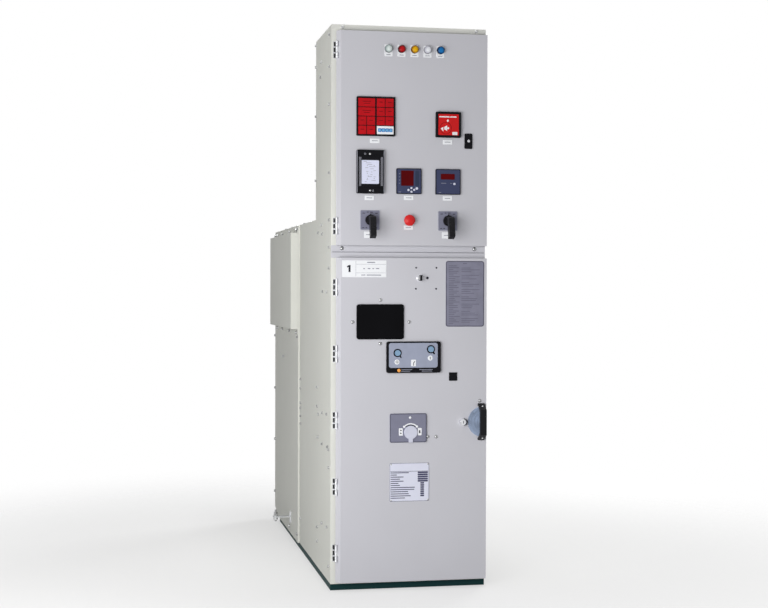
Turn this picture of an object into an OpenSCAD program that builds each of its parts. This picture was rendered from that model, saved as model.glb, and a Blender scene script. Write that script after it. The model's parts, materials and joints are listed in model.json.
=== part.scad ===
// Free-standing metal-clad switchgear cubicle: a deep sheet-metal body on a base frame, a breaker
// compartment with a hinged door at the front, and an instrument box with its own door on top.
// X runs to the right, the doors face -Y and Z is up. The origin is the centre of the four floor
// bolts, on the underside of the base frame.

/* [Cabinet] */
// Width across the side sheets
width = 600; // [560:10:800]
// Height of the breaker compartment above the base frame
breaker_h = 1262; // [1200:1:1300]
// Height of the instrument box
lv_h = 855; // [820:1:1000]
// Rise of the rear body above the underside of the instrument box
body_step = 135; // [100:1:200]
// Depth from the front frame to the back face
depth = 1780; // [1650:10:2000]
// Thickness of the folded sheet metal
sheet = 2; // [1.5:0.5:3]

/* [Base frame] */
// Height of the base rails
base_h = 23; // [15:1:40]
// Width of the base rails
rail_w = 40; // [32:1:60]
// Thickness of the channel that the base rails are made of
rail_t = 4; // [3:0.5:6]
// How far the back of the body hangs over the base frame
rear_overhang = 132; // [60:1:200]
// Rise of the sloping toe under the overhang
toe_rise = 32; // [10:1:60]
// Distance of the floor bolts from the sides
bolt_inset = 60; // [40:5:100]
// Diameter of the floor bolt holes
floor_hole_d = 14; // [10:1:18]

/* [Body] */
// Depth of the instrument box
lv_depth = 410; // [360:5:500]
// Depth of the breaker compartment
breaker_depth = 897; // [800:1:950]
// Depth of the bolted side and rear covers
cover_d = 8; // [6:1:14]
// Width of the folded rim round each bolted cover
cover_rim = 25; // [15:1:40]
// Gap between the two rear covers
cover_gap = 4; // [2:1:10]

/* [Busbar end box] */
// How far the box stands out from the side cover
end_box_d = 32; // [20:1:60]
// Height of the box
end_box_h = 423; // [300:1:440]
// Distance of the top of the box below the roof
end_box_drop = 34; // [30:1:60]
// Distance of the rear end of the box from the back face
end_box_rear = 60; // [40:5:300]
// Height of the bolting flange above and below the box
end_flange_h = 24; // [16:1:30]
// Setback of the box behind the front edge of the side cover
end_box_setback = 8; // [4:1:30]

/* [Front frame] */
// Width of the folded front posts
post_w = 38; // [34:1:50]
// Depth of the inner lip of a front post
lip_d = 20; // [10:1:30]
// Height of the rail above the breaker door
header_h = 25; // [18:1:40]
// Height of the sill below the instrument door
sill_h = 22; // [16:1:40]
// Height of the landing that each door closes over
landing_h = 20; // [12:1:30]
// Height of the front flange of the roof
roof_flange_h = 18; // [12:1:24]
// Depth of the stiffening fold on the rail and sill
fold_d = 40; // [20:1:60]

/* [Doors] */
// Depth of a door pan
door_d = 23; // [20:1:30]
// Gap between a shut door and the front frame
door_standoff = 5; // [5:0.5:8]
// Distance of the hinge edge of a door from the left side
hinge_inset = 18; // [17:1:24]
// Width of the bevel on the hinge edge of a door
bevel_w = 15; // [12:1:16]
// Gap between a door and the parts above and below it
door_gap = 7; // [5:1:10]

/* [Hinges] */
// Outside diameter of the hinge knuckles
knuckle_d = 8.5; // [8:0.5:9.5]
// Diameter of the hinge pins
pin_d = 4.5; // [4:0.5:5]
// Running clearance round each pin and shaft
run_gap = 0.05; // [0.02:0.01:0.1]
// Height of a hinge
hinge_h = 64; // [50:1:80]
// Gap between the knuckles of a hinge
knuckle_gap = 1; // [0.5:0.5:2]
// Clearance of the knuckles from the bevelled edge of a door
knuckle_clear = 1.2; // [1:0.1:1.6]
// Distance of the hinge axis in front of the front frame
axis_out = 16.5; // [15.5:0.5:17]
// Thickness of the fixed hinge leaves
leaf_t = 3; // [2:0.5:3]
// Distance of the fixed hinge leaves from the left side
leaf_inset = 7; // [5:0.5:8]
// Width of the slots in the fixed hinge leaves
leaf_slot_w = 4.2; // [3:0.1:5]
// Distance of the outer hinges from the ends of the instrument door
lv_hinge_inset = 72; // [50:1:120]
// Distance of the outer hinges from the ends of the breaker door
door_hinge_inset = 112; // [60:1:160]
// Number of hinges on the breaker door
door_hinge_count = 5; // [3:1:6]

/* [Instrument columns and rows] */
// Share of the free width left of the relay
left_share = 58; // [40:0.5:80]
// Share of the free width between the relay and the left meter
relay_share = 47.5; // [30:0.5:70]
// Share of the free width between the two meters
meter_share = 55; // [30:0.5:70]
// Share of the free width right of the right meter
right_share = 106.5; // [80:0.5:130]
// Share of the free width between the right meter and the centre of the lock
lock_share = 31.5; // [28:0.5:40]
// Height of the switch row above the lower edge of the door
switch_row = 95; // [80:1:110]
// Height of the underside of the relay and meters above the lower edge of the door
instrument_row = 195; // [180:1:220]
// Gap between the relay and the annunciator above it
alarm_gap = 53; // [40:1:70]
// Distance of the lock centre below the underside of the annunciator
lock_drop = 12; // [0:1:20]
// Distance of the lamp row below the upper edge of the door
lamp_row = 65; // [50:1:90]

/* [Instruments] */
// Side of the square meters
meter_w = 97; // [90:1:100]
// Rim of the meter and hooter bezels round their cases
meter_rim = 3; // [2:0.5:6]
// Depth of the meter cases behind the door
meter_case_d = 70; // [50:1:100]
// Side of the square alarm annunciator
alarm_w = 148; // [140:1:160]
// Rim of the annunciator bezel round its case
alarm_rim = 6; // [5:0.5:10]
// Rim of the annunciator round the field of windows
field_rim = 5; // [4:0.5:8]
// Width of the bar between the two blocks of windows
field_bar = 4; // [2:0.5:6]
// Gap between the windows
window_gap = 2; // [1:0.5:4]
// Depth of the annunciator case behind the door
alarm_case_d = 95; // [60:1:120]
// Width of the protection relay
relay_w = 106; // [100:1:120]
// Height of the protection relay
relay_h = 164; // [150:1:180]
// Depth of the relay case behind the door
relay_case_d = 140; // [100:1:160]
// Rim of the relay bezel round its case
relay_rim = 6; // [4:1:10]
// Height of the clear cover on the relay
relay_cover_h = 116; // [100:1:130]
// How far the clear cover stands out from the relay
relay_cover_d = 8; // [4:1:12]
// How far meter bezels stand out
meter_proud = 8; // [5:1:12]
// How far the annunciator bezel stands out
alarm_proud = 10; // [8:1:14]
// How far the relay and hooter bezels stand out
relay_proud = 14; // [9:1:18]
// Clearance round a case in its cut-out
cutout_gap = 0.5; // [0.3:0.1:1]
// Corner radius of the instrument bezels
bezel_r = 4; // [1:0.5:6]

/* [Lamps and knobs] */
// Distance between signal lamps
lamp_pitch = 50.3; // [40:0.1:60]
// Number of signal lamps
lamp_count = 5; // [3:1:5]
// Offset of the lamp row from the centre of the width
lamp_offset = 14.5; // [0:0.5:20]
// Diameter of the lamp bezels
lamp_d = 30; // [26:1:34]
// Rim of the lamp bezels round their lenses
lens_rim = 1; // [1:0.5:4]
// How far the lamp bezels stand out
lamp_proud = 8; // [6:1:12]
// Diameter of the barrels behind lamps and push button
barrel_d = 22; // [18:0.5:22]
// Depth of the barrels behind the door
barrel_l = 45; // [30:1:60]
// Diameter of the mushroom head
mushroom_d = 42; // [36:1:50]
// Travel of the mushroom button
mushroom_travel = 6; // [4:1:8]
// Width of the square switch plates
switch_plate_w = 74; // [70:1:80]
// Diameter of the switch handle hubs
switch_hub_d = 40; // [36:1:46]
// Length of the switch grips from the shaft
switch_grip_l = 71; // [64:1:80]
// Width of the switch grips
switch_grip_w = 22.5; // [20:0.5:26]
// How far the switch grips stand out from the backs of their hubs
switch_out = 64; // [56:1:72]
// How far the ends of the switch grips lean out from their upper ends
switch_lean = 11; // [4:1:18]
// Diameter of the switch shafts
shaft_d = 12; // [8:1:16]
// Gap between a turning knob and the plate behind it
knob_gap = 5; // [5:0.5:8]

/* [Breaker door fittings] */
// Width of the viewing window
window_w = 182; // [160:1:200]
// Height of the viewing window
window_h = 133; // [110:1:140]
// Distance of the viewing window from the hinge edge of the face
window_inset = 60; // [50:1:70]
// Distance of the window centre below the upper edge of the door
window_row = 242; // [230:1:250]
// Overlap of the window frame on the door
window_lap = 9; // [6:1:14]
// Width of the raised frame of the window
window_rim = 8; // [5:1:10]
// Width of the breaker control panel
panel_w = 210; // [190:1:220]
// Height of the breaker control panel
panel_h = 119; // [100:1:124]
// Gap between the window and the control panel below it
panel_gap = 8.5; // [6:0.5:30]
// Offset of the control panel from the centre of the width
panel_x = 12.5; // [5:0.5:20]
// How far the control panel stands out
panel_proud = 12; // [12:1:16]
// Offset of the off button from the centre of the control panel
off_x = -63; // [-70:1:-50]
// Height of the off button above the centre of the control panel
off_z = 16.5; // [5:0.5:20]
// Offset of the on button from the centre of the control panel
on_x = 66; // [50:1:74]
// Height of the on button above the centre of the control panel
on_z = 30; // [10:0.5:32]
// Diameter of the off and on buttons
button_d = 22; // [20:1:26]
// Travel of the off and on buttons
button_travel = 4; // [3:0.5:5]
// Width of the racking plate
racking_w = 142; // [120:1:160]
// Height of the racking plate
racking_h = 110; // [100:1:120]
// Centre of the racking plate, from the centre of the width
racking_x = -7; // [-20:1:20]
// Gap between the control panel and the racking plate below it
racking_gap = 154.5; // [100:0.5:200]
// Diameter of the round racking cover
racking_cap_d = 51; // [44:1:56]
// Length of the bow handle
grip_l = 141; // [120:1:160]
// Width of the bow handle
grip_w = 25; // [20:1:30]
// How far the bow handle stands out
grip_out = 45; // [36:1:60]
// Thickness of the bar of the bow handle
grip_t = 14; // [10:1:18]
// Height of the feet of the bow handle
foot_h = 10.5; // [8:0.5:12]
// Distance of the bow handle from the lock edge of the door
handle_inset = 22; // [18:1:30]
// Height of the handle above the lower edge of the door
handle_row = 604; // [560:1:640]
// Radius of the half-round handle plate
rose_r = 58; // [50:1:60]
// Thickness of the handle plate
rose_t = 6; // [3:1:8]
// Distance of the centre of the handle plate from the lock edge of the door
rose_inset = 15; // [12:1:30]
// Diameter of the cylinder lock
lock_d = 22; // [16:1:24]
// Gap between the cylinder lock and the handle rose
lock_gap = 8; // [5:1:20]
// Width of the square plug
plug_w = 32; // [26:1:40]
// Centre of the square plug, from the centre of the width
plug_x = 168; // [150:1:180]
// Distance of the plug centre below the control panel
plug_drop = 16; // [0:1:40]

/* [Earth bar] */
// Length of the earth bar outside the side cover
earth_l = 82; // [60:1:100]
// Width of the earth bar
earth_w = 30; // [25:1:40]
// Thickness of the earth bar
earth_t = 5; // [4:1:8]
// Height of the earth bar
earth_z = 100; // [80:1:140]
// Distance of the earth bar from the front frame
earth_y = 1125; // [1000:5:1300]
// Diameter of the earth bar hole
earth_hole_d = 11; // [9:1:13]
// Height of the foot that holds the earth bar
earth_foot_h = 50; // [40:1:70]

/* [Hidden] */
$fn = 48;
cut = 1;

// Colours of the finishes
body_grey = [0.74, 0.74, 0.73];
dark_green = [0.07, 0.10, 0.10];
black = [0.06, 0.06, 0.07];
zinc = [0.70, 0.71, 0.72];
plate_grey = [0.50, 0.52, 0.55];
alarm_red = [0.80, 0.08, 0.08];
navy = [0.13, 0.16, 0.22];
button_blue = [0.50, 0.62, 0.76];

// Planes of the body
half_w = width / 2;
seam_z = base_h + breaker_h;
height = seam_z + lv_h;
body_h = seam_z + body_step;
bolt_span = width - 2 * bolt_inset;
base_depth = depth - cover_d - rear_overhang;
front_y = -base_depth / 2;
toe_y = base_depth / 2;
back_y = front_y + depth;
side_back_y = back_y - cover_d;
lv_back_y = front_y + lv_depth;
breaker_back_y = front_y + breaker_depth;
in_x = half_w - sheet;
in_front_y = front_y + sheet;
floor_top = base_h + sheet;
roof_under = body_h - sheet;
lv_top = height - sheet;
landing_x = half_w - post_w;

// Faces of the doors
door_back = front_y - door_standoff;
face_y = door_back - door_d;
inner_face_y = face_y + sheet;
edge_back_x = -half_w + hinge_inset;
edge_face_x = edge_back_x + bevel_w;
door_z0 = base_h + door_gap;
door_z1 = seam_z - header_h;
lv_door_z0 = seam_z + sill_h;
lv_door_z1 = height - roof_flange_h - door_gap;

// X of the bevelled edge of a door at a given Y, and X per unit of distance square to that edge
function bevel_x(y) = edge_back_x + bevel_w * (door_back - y) / door_d;
bevel_per_unit = sqrt(bevel_w * bevel_w + door_d * door_d) / door_d;

// Hinge axis
hinge_y = front_y - axis_out;
hinge_x = bevel_x(hinge_y) - (knuckle_d / 2 + knuckle_clear) * bevel_per_unit;
knuckle_h = (hinge_h - 2 * knuckle_gap) / 3;
slot_margin = 2;
wing_gap = 0.02;
wing_t = 2;
corner_gap = 1;
leaf_margin = 2.8;
door_hinge_pitch = (door_z1 - door_z0 - 2 * door_hinge_inset) / (door_hinge_count - 1);
lv_hinge_zs = [lv_door_z0 + lv_hinge_inset, lv_door_z1 - lv_hinge_inset];
door_hinge_zs = [for (i = [0 : door_hinge_count - 1]) door_z0 + door_hinge_inset + i * door_hinge_pitch];

// Columns of instruments, with the free width of the door shared out between them
free_w = half_w - edge_face_x - relay_w - 2 * meter_w;
per_share = free_w / (left_share + relay_share + meter_share + right_share);
left_x = edge_face_x + left_share * per_share + relay_w / 2;
middle_x = left_x + relay_w / 2 + relay_share * per_share + meter_w / 2;
right_x = middle_x + meter_w + meter_share * per_share;
lv_lock_x = right_x + meter_w / 2 + lock_share * per_share;

// Centres of the instruments
switch_z = lv_door_z0 + switch_row;
relay_z = lv_door_z0 + instrument_row + relay_h / 2;
meter_z = lv_door_z0 + instrument_row + meter_w / 2;
alarm_z0 = relay_z + relay_h / 2 + alarm_gap;
alarm_x = left_x + (alarm_w - relay_w) / 2;
alarm_z = alarm_z0 + alarm_w / 2;
hooter_z = alarm_z0 + meter_w / 2;
lv_lock_z = alarm_z0 - lock_drop;
lamp_z = lv_door_z1 - lamp_row;
lamp_xs = [for (i = [0 : lamp_count - 1]) lamp_offset + (i - (lamp_count - 1) / 2) * lamp_pitch];
switch_xs = [left_x, right_x];

// Cases and facias of the instruments
meter_case_w = meter_w - 2 * meter_rim;
alarm_case_w = alarm_w - 2 * alarm_rim;
alarm_field = alarm_w - 2 * field_rim;
relay_case_w = relay_w - 2 * relay_rim;
relay_case_h = relay_h - 2 * relay_rim;
lens_d = lamp_d - 2 * lens_rim;
seat_d = 3;
seat_gap = 0.3;
facia_d = 2;
hooter_case_d = 60;
hooter_facia = 81;
relay_facia = [72, 94];
left_display = [49, 58];
left_display_at = [-6.5, 11.5];
right_display = [55, 22];
right_display_at = [-1.5, 19.5];
lock_plate = [30, 58, 5];
lock_boss_t = 3;
lock_barrel_l = 22;

// Switches and push button
switch_plate_t = 4;
switch_block_w = 56;
switch_block_d = 80;
switch_hub_t = 12;
switch_grip_t = 26;
switch_grip_cut = 10;
shaft_l = 14;
collar_d = 30;
collar_t = 9;
stem_d = 14;
stem_l = 16;
head_t = 12;
head_rim_t = 5;
head_stop = 2;

// Centres of the breaker door fittings
window_x = edge_face_x + window_inset + window_w / 2;
window_z = door_z1 - window_row;
panel_z = window_z - window_h / 2 - panel_gap - panel_h / 2;
off_pos = [panel_x + off_x, panel_z + off_z];
on_pos = [panel_x + on_x, panel_z + on_z];
racking_z = panel_z - panel_h / 2 - racking_gap - racking_h / 2;
handle_x = half_w - handle_inset;
rose_x = half_w - rose_inset;
handle_z = door_z0 + handle_row;
lock_rim = 2;
lock_x = rose_x - rose_r - lock_gap - lock_d / 2 - lock_rim;
plug_z = panel_z - panel_h / 2 - plug_drop;

// Depths of the breaker door fittings
pane_t = 6;
pane_r = 10;
panel_r = 8;
panel_facia = [190, 95];
panel_facia_at = [-1.5, 7];
button_out = button_travel + 1;
button_rear = button_travel + 2;
racking_t = 6;
racking_r = 6;
tail_w = 16;
cap_t = 5;
cap_drop = 17;
cap_shift = 9;
leg_run = 22;
leg_root = 8;
lock_out = 14;
plug_t = 3;

// A block between two corners
module block(low, high) {
  translate(low) cube(high - low);
}

// A pair of like pieces, left and right
module both_sides() {
  children();
  mirror([1, 0, 0]) children();
}

// A piece at the front, or its mirror image at the back
module front_or_back(side) {
  if (side > 0) mirror([0, 1, 0]) children();
  else children();
}

// A profile drawn in Y and Z and extruded along X from x0 to x1
module along_x(x0, x1) {
  translate([x0, 0, 0]) rotate([90, 0, 90]) linear_extrude(x1 - x0) children();
}

// A profile drawn in X and Z, centred at [x, z], from y0 back to y1
module along_y(pos, y0, y1) {
  translate([pos[0], y1, pos[1]]) rotate([90, 0, 0]) linear_extrude(y1 - y0) children();
}

// A rectangle with round corners, centred
module rounded(w, h, r) {
  square([w - 2 * r, h], center = true);
  square([w, h - 2 * r], center = true);
  for (sx = [-1, 1], sz = [-1, 1]) translate([sx * (w / 2 - r), sz * (h / 2 - r)]) circle(r);
}

// A rectangular hole through the sheet of a door
module window_cut(pos, w, h) {
  along_y(pos, face_y - cut, inner_face_y + cut) square([w, h], center = true);
}

// A round hole through the sheet of a door
module round_cut(pos, d) {
  along_y(pos, face_y - cut, inner_face_y + cut) circle(d = d);
}

// A bezel on the face of a door with its case behind
module instrument(pos, w, h, proud, case_w, case_h, case_d) {
  along_y(pos, face_y - proud, face_y) rounded(w, h, bezel_r);
  along_y(pos, face_y, face_y + case_d) square([case_w, case_h], center = true);
}

// Base frame and floor

// Channel rails across the front and the back, closed at the ends and open to the inside
module base_cross_rails() {
  color(dark_green) for (side = [-1, 1]) front_or_back(side) difference() {
    block([-half_w, -toe_y, 0], [half_w, -toe_y + rail_w, base_h]);
    block([-half_w + rail_t, -toe_y + rail_t, rail_t],
      [half_w - rail_t, -toe_y + rail_w + cut, base_h - rail_t]);
    for (x = [-bolt_span / 2, bolt_span / 2])
      translate([x, -toe_y + rail_w / 2, -cut]) cylinder(d = floor_hole_d, h = base_h + 2 * cut);
  }
}

// Channel rails between them along the sides
module base_side_rails() {
  y1 = toe_y - rail_w;
  color(dark_green) both_sides() difference() {
    block([-half_w, -y1, 0], [-half_w + rail_w, y1, base_h]);
    block([-half_w + rail_t, -y1 - cut, rail_t], [-half_w + rail_w + cut, y1 + cut, base_h - rail_t]);
  }
}

// Outline of the side in Y and Z, with the step behind the instrument box and the sloping toe
module side_outline() {
  polygon([
    [in_front_y, base_h], [toe_y, base_h], [side_back_y, base_h + toe_rise],
    [side_back_y, roof_under], [lv_back_y, roof_under], [lv_back_y, seam_z], [in_front_y, seam_z]
  ]);
}

module floor_plate() {
  color(zinc) difference() {
    block([-in_x, in_front_y, base_h], [in_x, toe_y, floor_top]);
    for (x = [-bolt_span / 2, bolt_span / 2], y = [front_y + rail_w / 2, toe_y - rail_w / 2])
      translate([x, y, base_h - cut]) cylinder(d = floor_hole_d, h = sheet + 2 * cut);
  }
}

// Sloping sheet that closes the overhang behind the base frame
module toe_plate() {
  color(zinc) along_x(-in_x, in_x) polygon([
    [toe_y, base_h], [side_back_y, base_h + toe_rise],
    [side_back_y, base_h + toe_rise + sheet], [toe_y, floor_top]
  ]);
}

// Body

module left_side() {
  color(body_grey) along_x(-half_w, -in_x) side_outline();
}

module right_side() {
  color(body_grey) along_x(in_x, half_w) side_outline();
}

// Outline of a bolted side cover, set in by a rim
module cover_outline(rim) {
  polygon([
    [breaker_back_y + rim, base_h + rim], [toe_y, base_h + rim],
    [back_y - rim, base_h + toe_rise + rim], [back_y - rim, roof_under - rim],
    [breaker_back_y + rim, roof_under - rim]
  ]);
}

// A shallow pan bolted over the rear of a side
module side_cover() {
  difference() {
    along_x(-half_w - cover_d, -half_w) cover_outline(0);
    along_x(-half_w - cover_d + sheet, -half_w + cut) cover_outline(cover_rim);
  }
}

module left_rear_cover() {
  color(body_grey) side_cover();
}

module right_rear_cover() {
  color(body_grey) mirror([1, 0, 0]) side_cover();
}

// A pan bolted over part of the back
module back_pan(z0, z1) {
  difference() {
    block([-half_w, side_back_y, z0], [half_w, back_y, z1]);
    block([-half_w + cover_rim, side_back_y - cut, z0 + cover_rim],
      [half_w - cover_rim, back_y - sheet, z1 - cover_rim]);
  }
}

module rear_covers() {
  z0 = base_h + toe_rise;
  middle = (z0 + roof_under) / 2;
  color(body_grey) {
    back_pan(z0, middle - cover_gap / 2);
    back_pan(middle + cover_gap / 2, roof_under);
  }
}

module main_roof() {
  color(body_grey) block([-half_w, lv_back_y, roof_under], [half_w, back_y, body_h]);
}

module breaker_rear_wall() {
  color(zinc) block([-in_x, breaker_back_y - sheet, floor_top], [in_x, breaker_back_y, roof_under]);
}

// Sheet box over the busbar ends, open to the side cover, with flanges above and below
module busbar_end_box() {
  x1 = -half_w - cover_d;
  x0 = x1 - end_box_d;
  y0 = breaker_back_y + end_box_setback;
  y1 = back_y - end_box_rear;
  z1 = body_h - end_box_drop;
  z0 = z1 - end_box_h;
  color(body_grey) difference() {
    union() {
      block([x0, y0, z0], [x1, y1, z1]);
      block([x1 - sheet, y0, z0 - end_flange_h], [x1, y1, z1 + end_flange_h]);
    }
    block([x0 + sheet, y0 + sheet, z0 + sheet], [x1 + cut, y1 - sheet, z1 - sheet]);
  }
}

// Angle on the side cover with a flat bar for the earth connection
module earth_bar() {
  x1 = -half_w - cover_d;
  y0 = front_y + earth_y;
  hole_inset = 12;
  color(zinc) difference() {
    union() {
      block([x1 - earth_t, y0, earth_z - earth_foot_h / 2], [x1, y0 + earth_w, earth_z + earth_foot_h / 2]);
      block([x1 - earth_l, y0, earth_z], [x1, y0 + earth_w, earth_z + earth_t]);
    }
    translate([x1 - earth_l + hole_inset, y0 + earth_w / 2, earth_z - cut])
      cylinder(d = earth_hole_d, h = earth_t + 2 * cut);
  }
}

// Front frame

// A folded post with a lip behind its inner edge, which starts above the floor
module post(z0, z1, lip_z0) {
  block([-half_w, front_y, z0], [-landing_x, in_front_y, z1]);
  block([-landing_x - sheet, in_front_y, lip_z0], [-landing_x, front_y + lip_d, z1]);
}

module front_posts() {
  color(body_grey) both_sides() post(base_h, door_z1, floor_top);
}

module threshold() {
  color(body_grey)
    block([-landing_x, front_y, base_h], [landing_x, in_front_y, door_z0 + landing_h]);
}

module header_rail() {
  color(body_grey) {
    block([-half_w, front_y, door_z1], [half_w, in_front_y, seam_z]);
    block([-landing_x, front_y, door_z1 - landing_h], [landing_x, in_front_y, door_z1]);
    block([-in_x, in_front_y, seam_z - sheet], [in_x, front_y + fold_d, seam_z]);
  }
}

// Instrument box

module lv_sill() {
  color(body_grey) {
    block([-half_w, front_y, seam_z], [half_w, in_front_y, lv_door_z0]);
    block([-landing_x, front_y, lv_door_z0], [landing_x, in_front_y, lv_door_z0 + landing_h]);
  }
}

module lv_floor() {
  color(zinc) block([-in_x, in_front_y, seam_z], [in_x, lv_back_y - sheet, seam_z + sheet]);
}

module lv_left_side() {
  color(body_grey) block([-half_w, in_front_y, seam_z], [-in_x, lv_back_y, lv_top]);
}

module lv_right_side() {
  color(body_grey) block([in_x, in_front_y, seam_z], [half_w, lv_back_y, lv_top]);
}

module lv_back() {
  color(body_grey) block([-in_x, lv_back_y - sheet, seam_z], [in_x, lv_back_y, lv_top]);
}

module lv_posts() {
  color(body_grey) both_sides() post(lv_door_z0, lv_top, lv_door_z0);
}

module lv_header() {
  color(body_grey)
    block([-landing_x, front_y, lv_door_z1 - landing_h], [landing_x, in_front_y, lv_top]);
}

module lv_roof() {
  color(body_grey) {
    block([-half_w, front_y - sheet, lv_top], [half_w, lv_back_y, height]);
    block([-half_w, front_y - sheet, height - roof_flange_h], [half_w, front_y, lv_top]);
  }
}

// Hinges

// One fixed hinge half: slotted leaf on the post, two knuckles and the pin
module fixed_hinge(z) {
  slot_h = knuckle_h - 2 * slot_margin;
  leaf_x0 = -half_w + leaf_inset;
  slot_x0 = leaf_x0 + leaf_margin;
  wing_x1 = min(hinge_x - knuckle_d / 2 + wing_t, edge_back_x - corner_gap);
  end = knuckle_h + knuckle_gap;
  difference() {
    block([leaf_x0, front_y - leaf_t, z - hinge_h / 2], [wing_x1, front_y, z + hinge_h / 2]);
    for (dz = [-end, 0, end])
      block([slot_x0, front_y - leaf_t - cut, z + dz - slot_h / 2],
        [slot_x0 + leaf_slot_w, front_y + cut, z + dz + slot_h / 2]);
  }
  for (dz = [-end, end]) {
    translate([hinge_x, hinge_y, z + dz - knuckle_h / 2]) cylinder(d = knuckle_d, h = knuckle_h);
    block([wing_x1 - wing_t, hinge_y, z + dz - knuckle_h / 2],
      [wing_x1, front_y - leaf_t, z + dz + knuckle_h / 2]);
  }
  translate([hinge_x, hinge_y, z - hinge_h / 2]) cylinder(d = pin_d, h = hinge_h);
}

module fixed_hinges() {
  color(zinc) for (z = concat(lv_hinge_zs, door_hinge_zs)) fixed_hinge(z);
}

// One knuckle on a door, with a wing that is seated on the bevelled edge
module door_knuckle(z) {
  y0 = hinge_y - wing_t;
  y1 = hinge_y + wing_t;
  translate([0, 0, z - knuckle_h / 2]) linear_extrude(knuckle_h) difference() {
    union() {
      translate([hinge_x, hinge_y]) circle(d = knuckle_d);
      polygon([
        [hinge_x, y0], [bevel_x(y0) - wing_gap, y0],
        [bevel_x(y1) - wing_gap, y1], [hinge_x, y1]
      ]);
    }
    translate([hinge_x, hinge_y]) circle(d = pin_d + 2 * run_gap);
  }
}

// Instrument door

// A door pan folded from one sheet, with a bevelled hinge edge, open at the back
module door_pan(z0, z1) {
  dx = sheet * bevel_per_unit;
  open_y = door_back + cut;
  difference() {
    translate([0, 0, z0]) linear_extrude(z1 - z0) polygon([
      [edge_back_x, door_back], [edge_face_x, face_y], [half_w, face_y], [half_w, door_back]
    ]);
    translate([0, 0, z0 + sheet]) linear_extrude(z1 - z0 - 2 * sheet) polygon([
      [bevel_x(open_y) + dx, open_y], [bevel_x(inner_face_y) + dx, inner_face_y],
      [half_w - sheet, inner_face_y], [half_w - sheet, open_y]
    ]);
    children();
  }
}

module lv_door() {
  gap = 2 * cutout_gap;
  color(body_grey) door_pan(lv_door_z0, lv_door_z1) {
    for (x = lamp_xs) round_cut([x, lamp_z], barrel_d + gap);
    window_cut([alarm_x, alarm_z], alarm_case_w + gap, alarm_case_w + gap);
    window_cut([right_x, hooter_z], meter_case_w + gap, meter_case_w + gap);
    window_cut([left_x, relay_z], relay_case_w + gap, relay_case_h + gap);
    for (x = [middle_x, right_x]) window_cut([x, meter_z], meter_case_w + gap, meter_case_w + gap);
    for (x = switch_xs) round_cut([x, switch_z], barrel_d + gap);
    round_cut([middle_x, switch_z], barrel_d + gap);
    round_cut([lv_lock_x, lv_lock_z], lock_d + gap);
  }
}

module lv_door_knuckles() {
  color(zinc) for (z = lv_hinge_zs) door_knuckle(z);
}

module lamp_bezels() {
  color(black) for (x = lamp_xs) difference() {
    union() {
      along_y([x, lamp_z], face_y - lamp_proud, face_y) circle(d = lamp_d);
      along_y([x, lamp_z], face_y, face_y + barrel_l) circle(d = barrel_d);
    }
    along_y([x, lamp_z], face_y - lamp_proud - cut, face_y - lamp_proud + seat_d)
      circle(d = lens_d + 2 * seat_gap);
  }
}

// A domed lens in each bezel
module lamp_lenses() {
  dome_h = 9;
  lens_r = lens_d / 2;
  ball_r = (lens_r * lens_r + dome_h * dome_h) / (2 * dome_h);
  color("white") for (x = lamp_xs) {
    along_y([x, lamp_z], face_y - lamp_proud, face_y - lamp_proud + seat_d) circle(r = lens_r);
    translate([x, face_y - lamp_proud, lamp_z]) rotate([90, 0, 0]) intersection() {
      translate([0, 0, dome_h - ball_r]) sphere(ball_r);
      cylinder(r = lens_r, h = dome_h);
    }
  }
}

// Frame of the annunciator, with one seat for the window field
module annunciator() {
  color(black) difference() {
    instrument([alarm_x, alarm_z], alarm_w, alarm_w, alarm_proud, alarm_case_w, alarm_case_w, alarm_case_d);
    along_y([alarm_x, alarm_z], face_y - alarm_proud - cut, face_y - alarm_proud + seat_d)
      square([alarm_field, alarm_field], center = true);
  }
}

// One block of lit windows: cells are [column, row, columns wide] on a grid of two by four
module window_block(x0, z0, w, h, cells) {
  cell_w = w / 2;
  cell_h = h / 4;
  for (c = cells)
    along_y([x0 + (c[0] + c[2] / 2) * cell_w, z0 + (c[1] + 0.5) * cell_h],
      face_y - alarm_proud + facia_d / 2, face_y - alarm_proud + seat_d)
      square([c[2] * cell_w - window_gap, cell_h - window_gap], center = true);
}

module annunciator_windows() {
  w = (alarm_field - field_bar) / 2;
  z0 = alarm_z - alarm_field / 2;
  color(alarm_red) {
    window_block(alarm_x - alarm_field / 2, z0, w, alarm_field,
      [[0, 0, 1], [1, 0, 1], [0, 1, 1], [1, 1, 1], [0, 2, 2], [0, 3, 2]]);
    window_block(alarm_x + field_bar / 2, z0, w, alarm_field,
      [[0, 0, 2], [0, 1, 1], [1, 1, 1], [0, 2, 1], [1, 2, 1], [0, 3, 1], [1, 3, 1]]);
  }
}

// A shallow seat for a facia or a display in the front of an instrument
module facia_seat(pos, proud, size) {
  along_y(pos, face_y - proud - cut, face_y - proud + facia_d) square(size, center = true);
}

module hooter() {
  pos = [right_x, hooter_z];
  color(black) difference() {
    instrument(pos, meter_w, meter_w, relay_proud, meter_case_w, meter_case_w, hooter_case_d);
    facia_seat(pos, relay_proud, [hooter_facia, hooter_facia]);
  }
}

// Relay with a clear cover over its facia, held between the bands at the top and the bottom
module relay() {
  pos = [left_x, relay_z];
  color(black) difference() {
    union() {
      instrument(pos, relay_w, relay_h, relay_proud, relay_case_w, relay_case_h, relay_case_d);
      along_y(pos, face_y - relay_proud - relay_cover_d, face_y - relay_proud)
        rounded(relay_case_w, relay_cover_h, bezel_r);
    }
    facia_seat(pos, relay_proud + relay_cover_d, relay_facia);
  }
}

// A square meter with a seat for its display
module meter(pos, display_at, display) {
  color(navy) difference() {
    instrument(pos, meter_w, meter_w, meter_proud, meter_case_w, meter_case_w, meter_case_d);
    facia_seat(pos + display_at, meter_proud, display);
  }
}

module left_meter() {
  meter([middle_x, meter_z], left_display_at, left_display);
}

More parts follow.
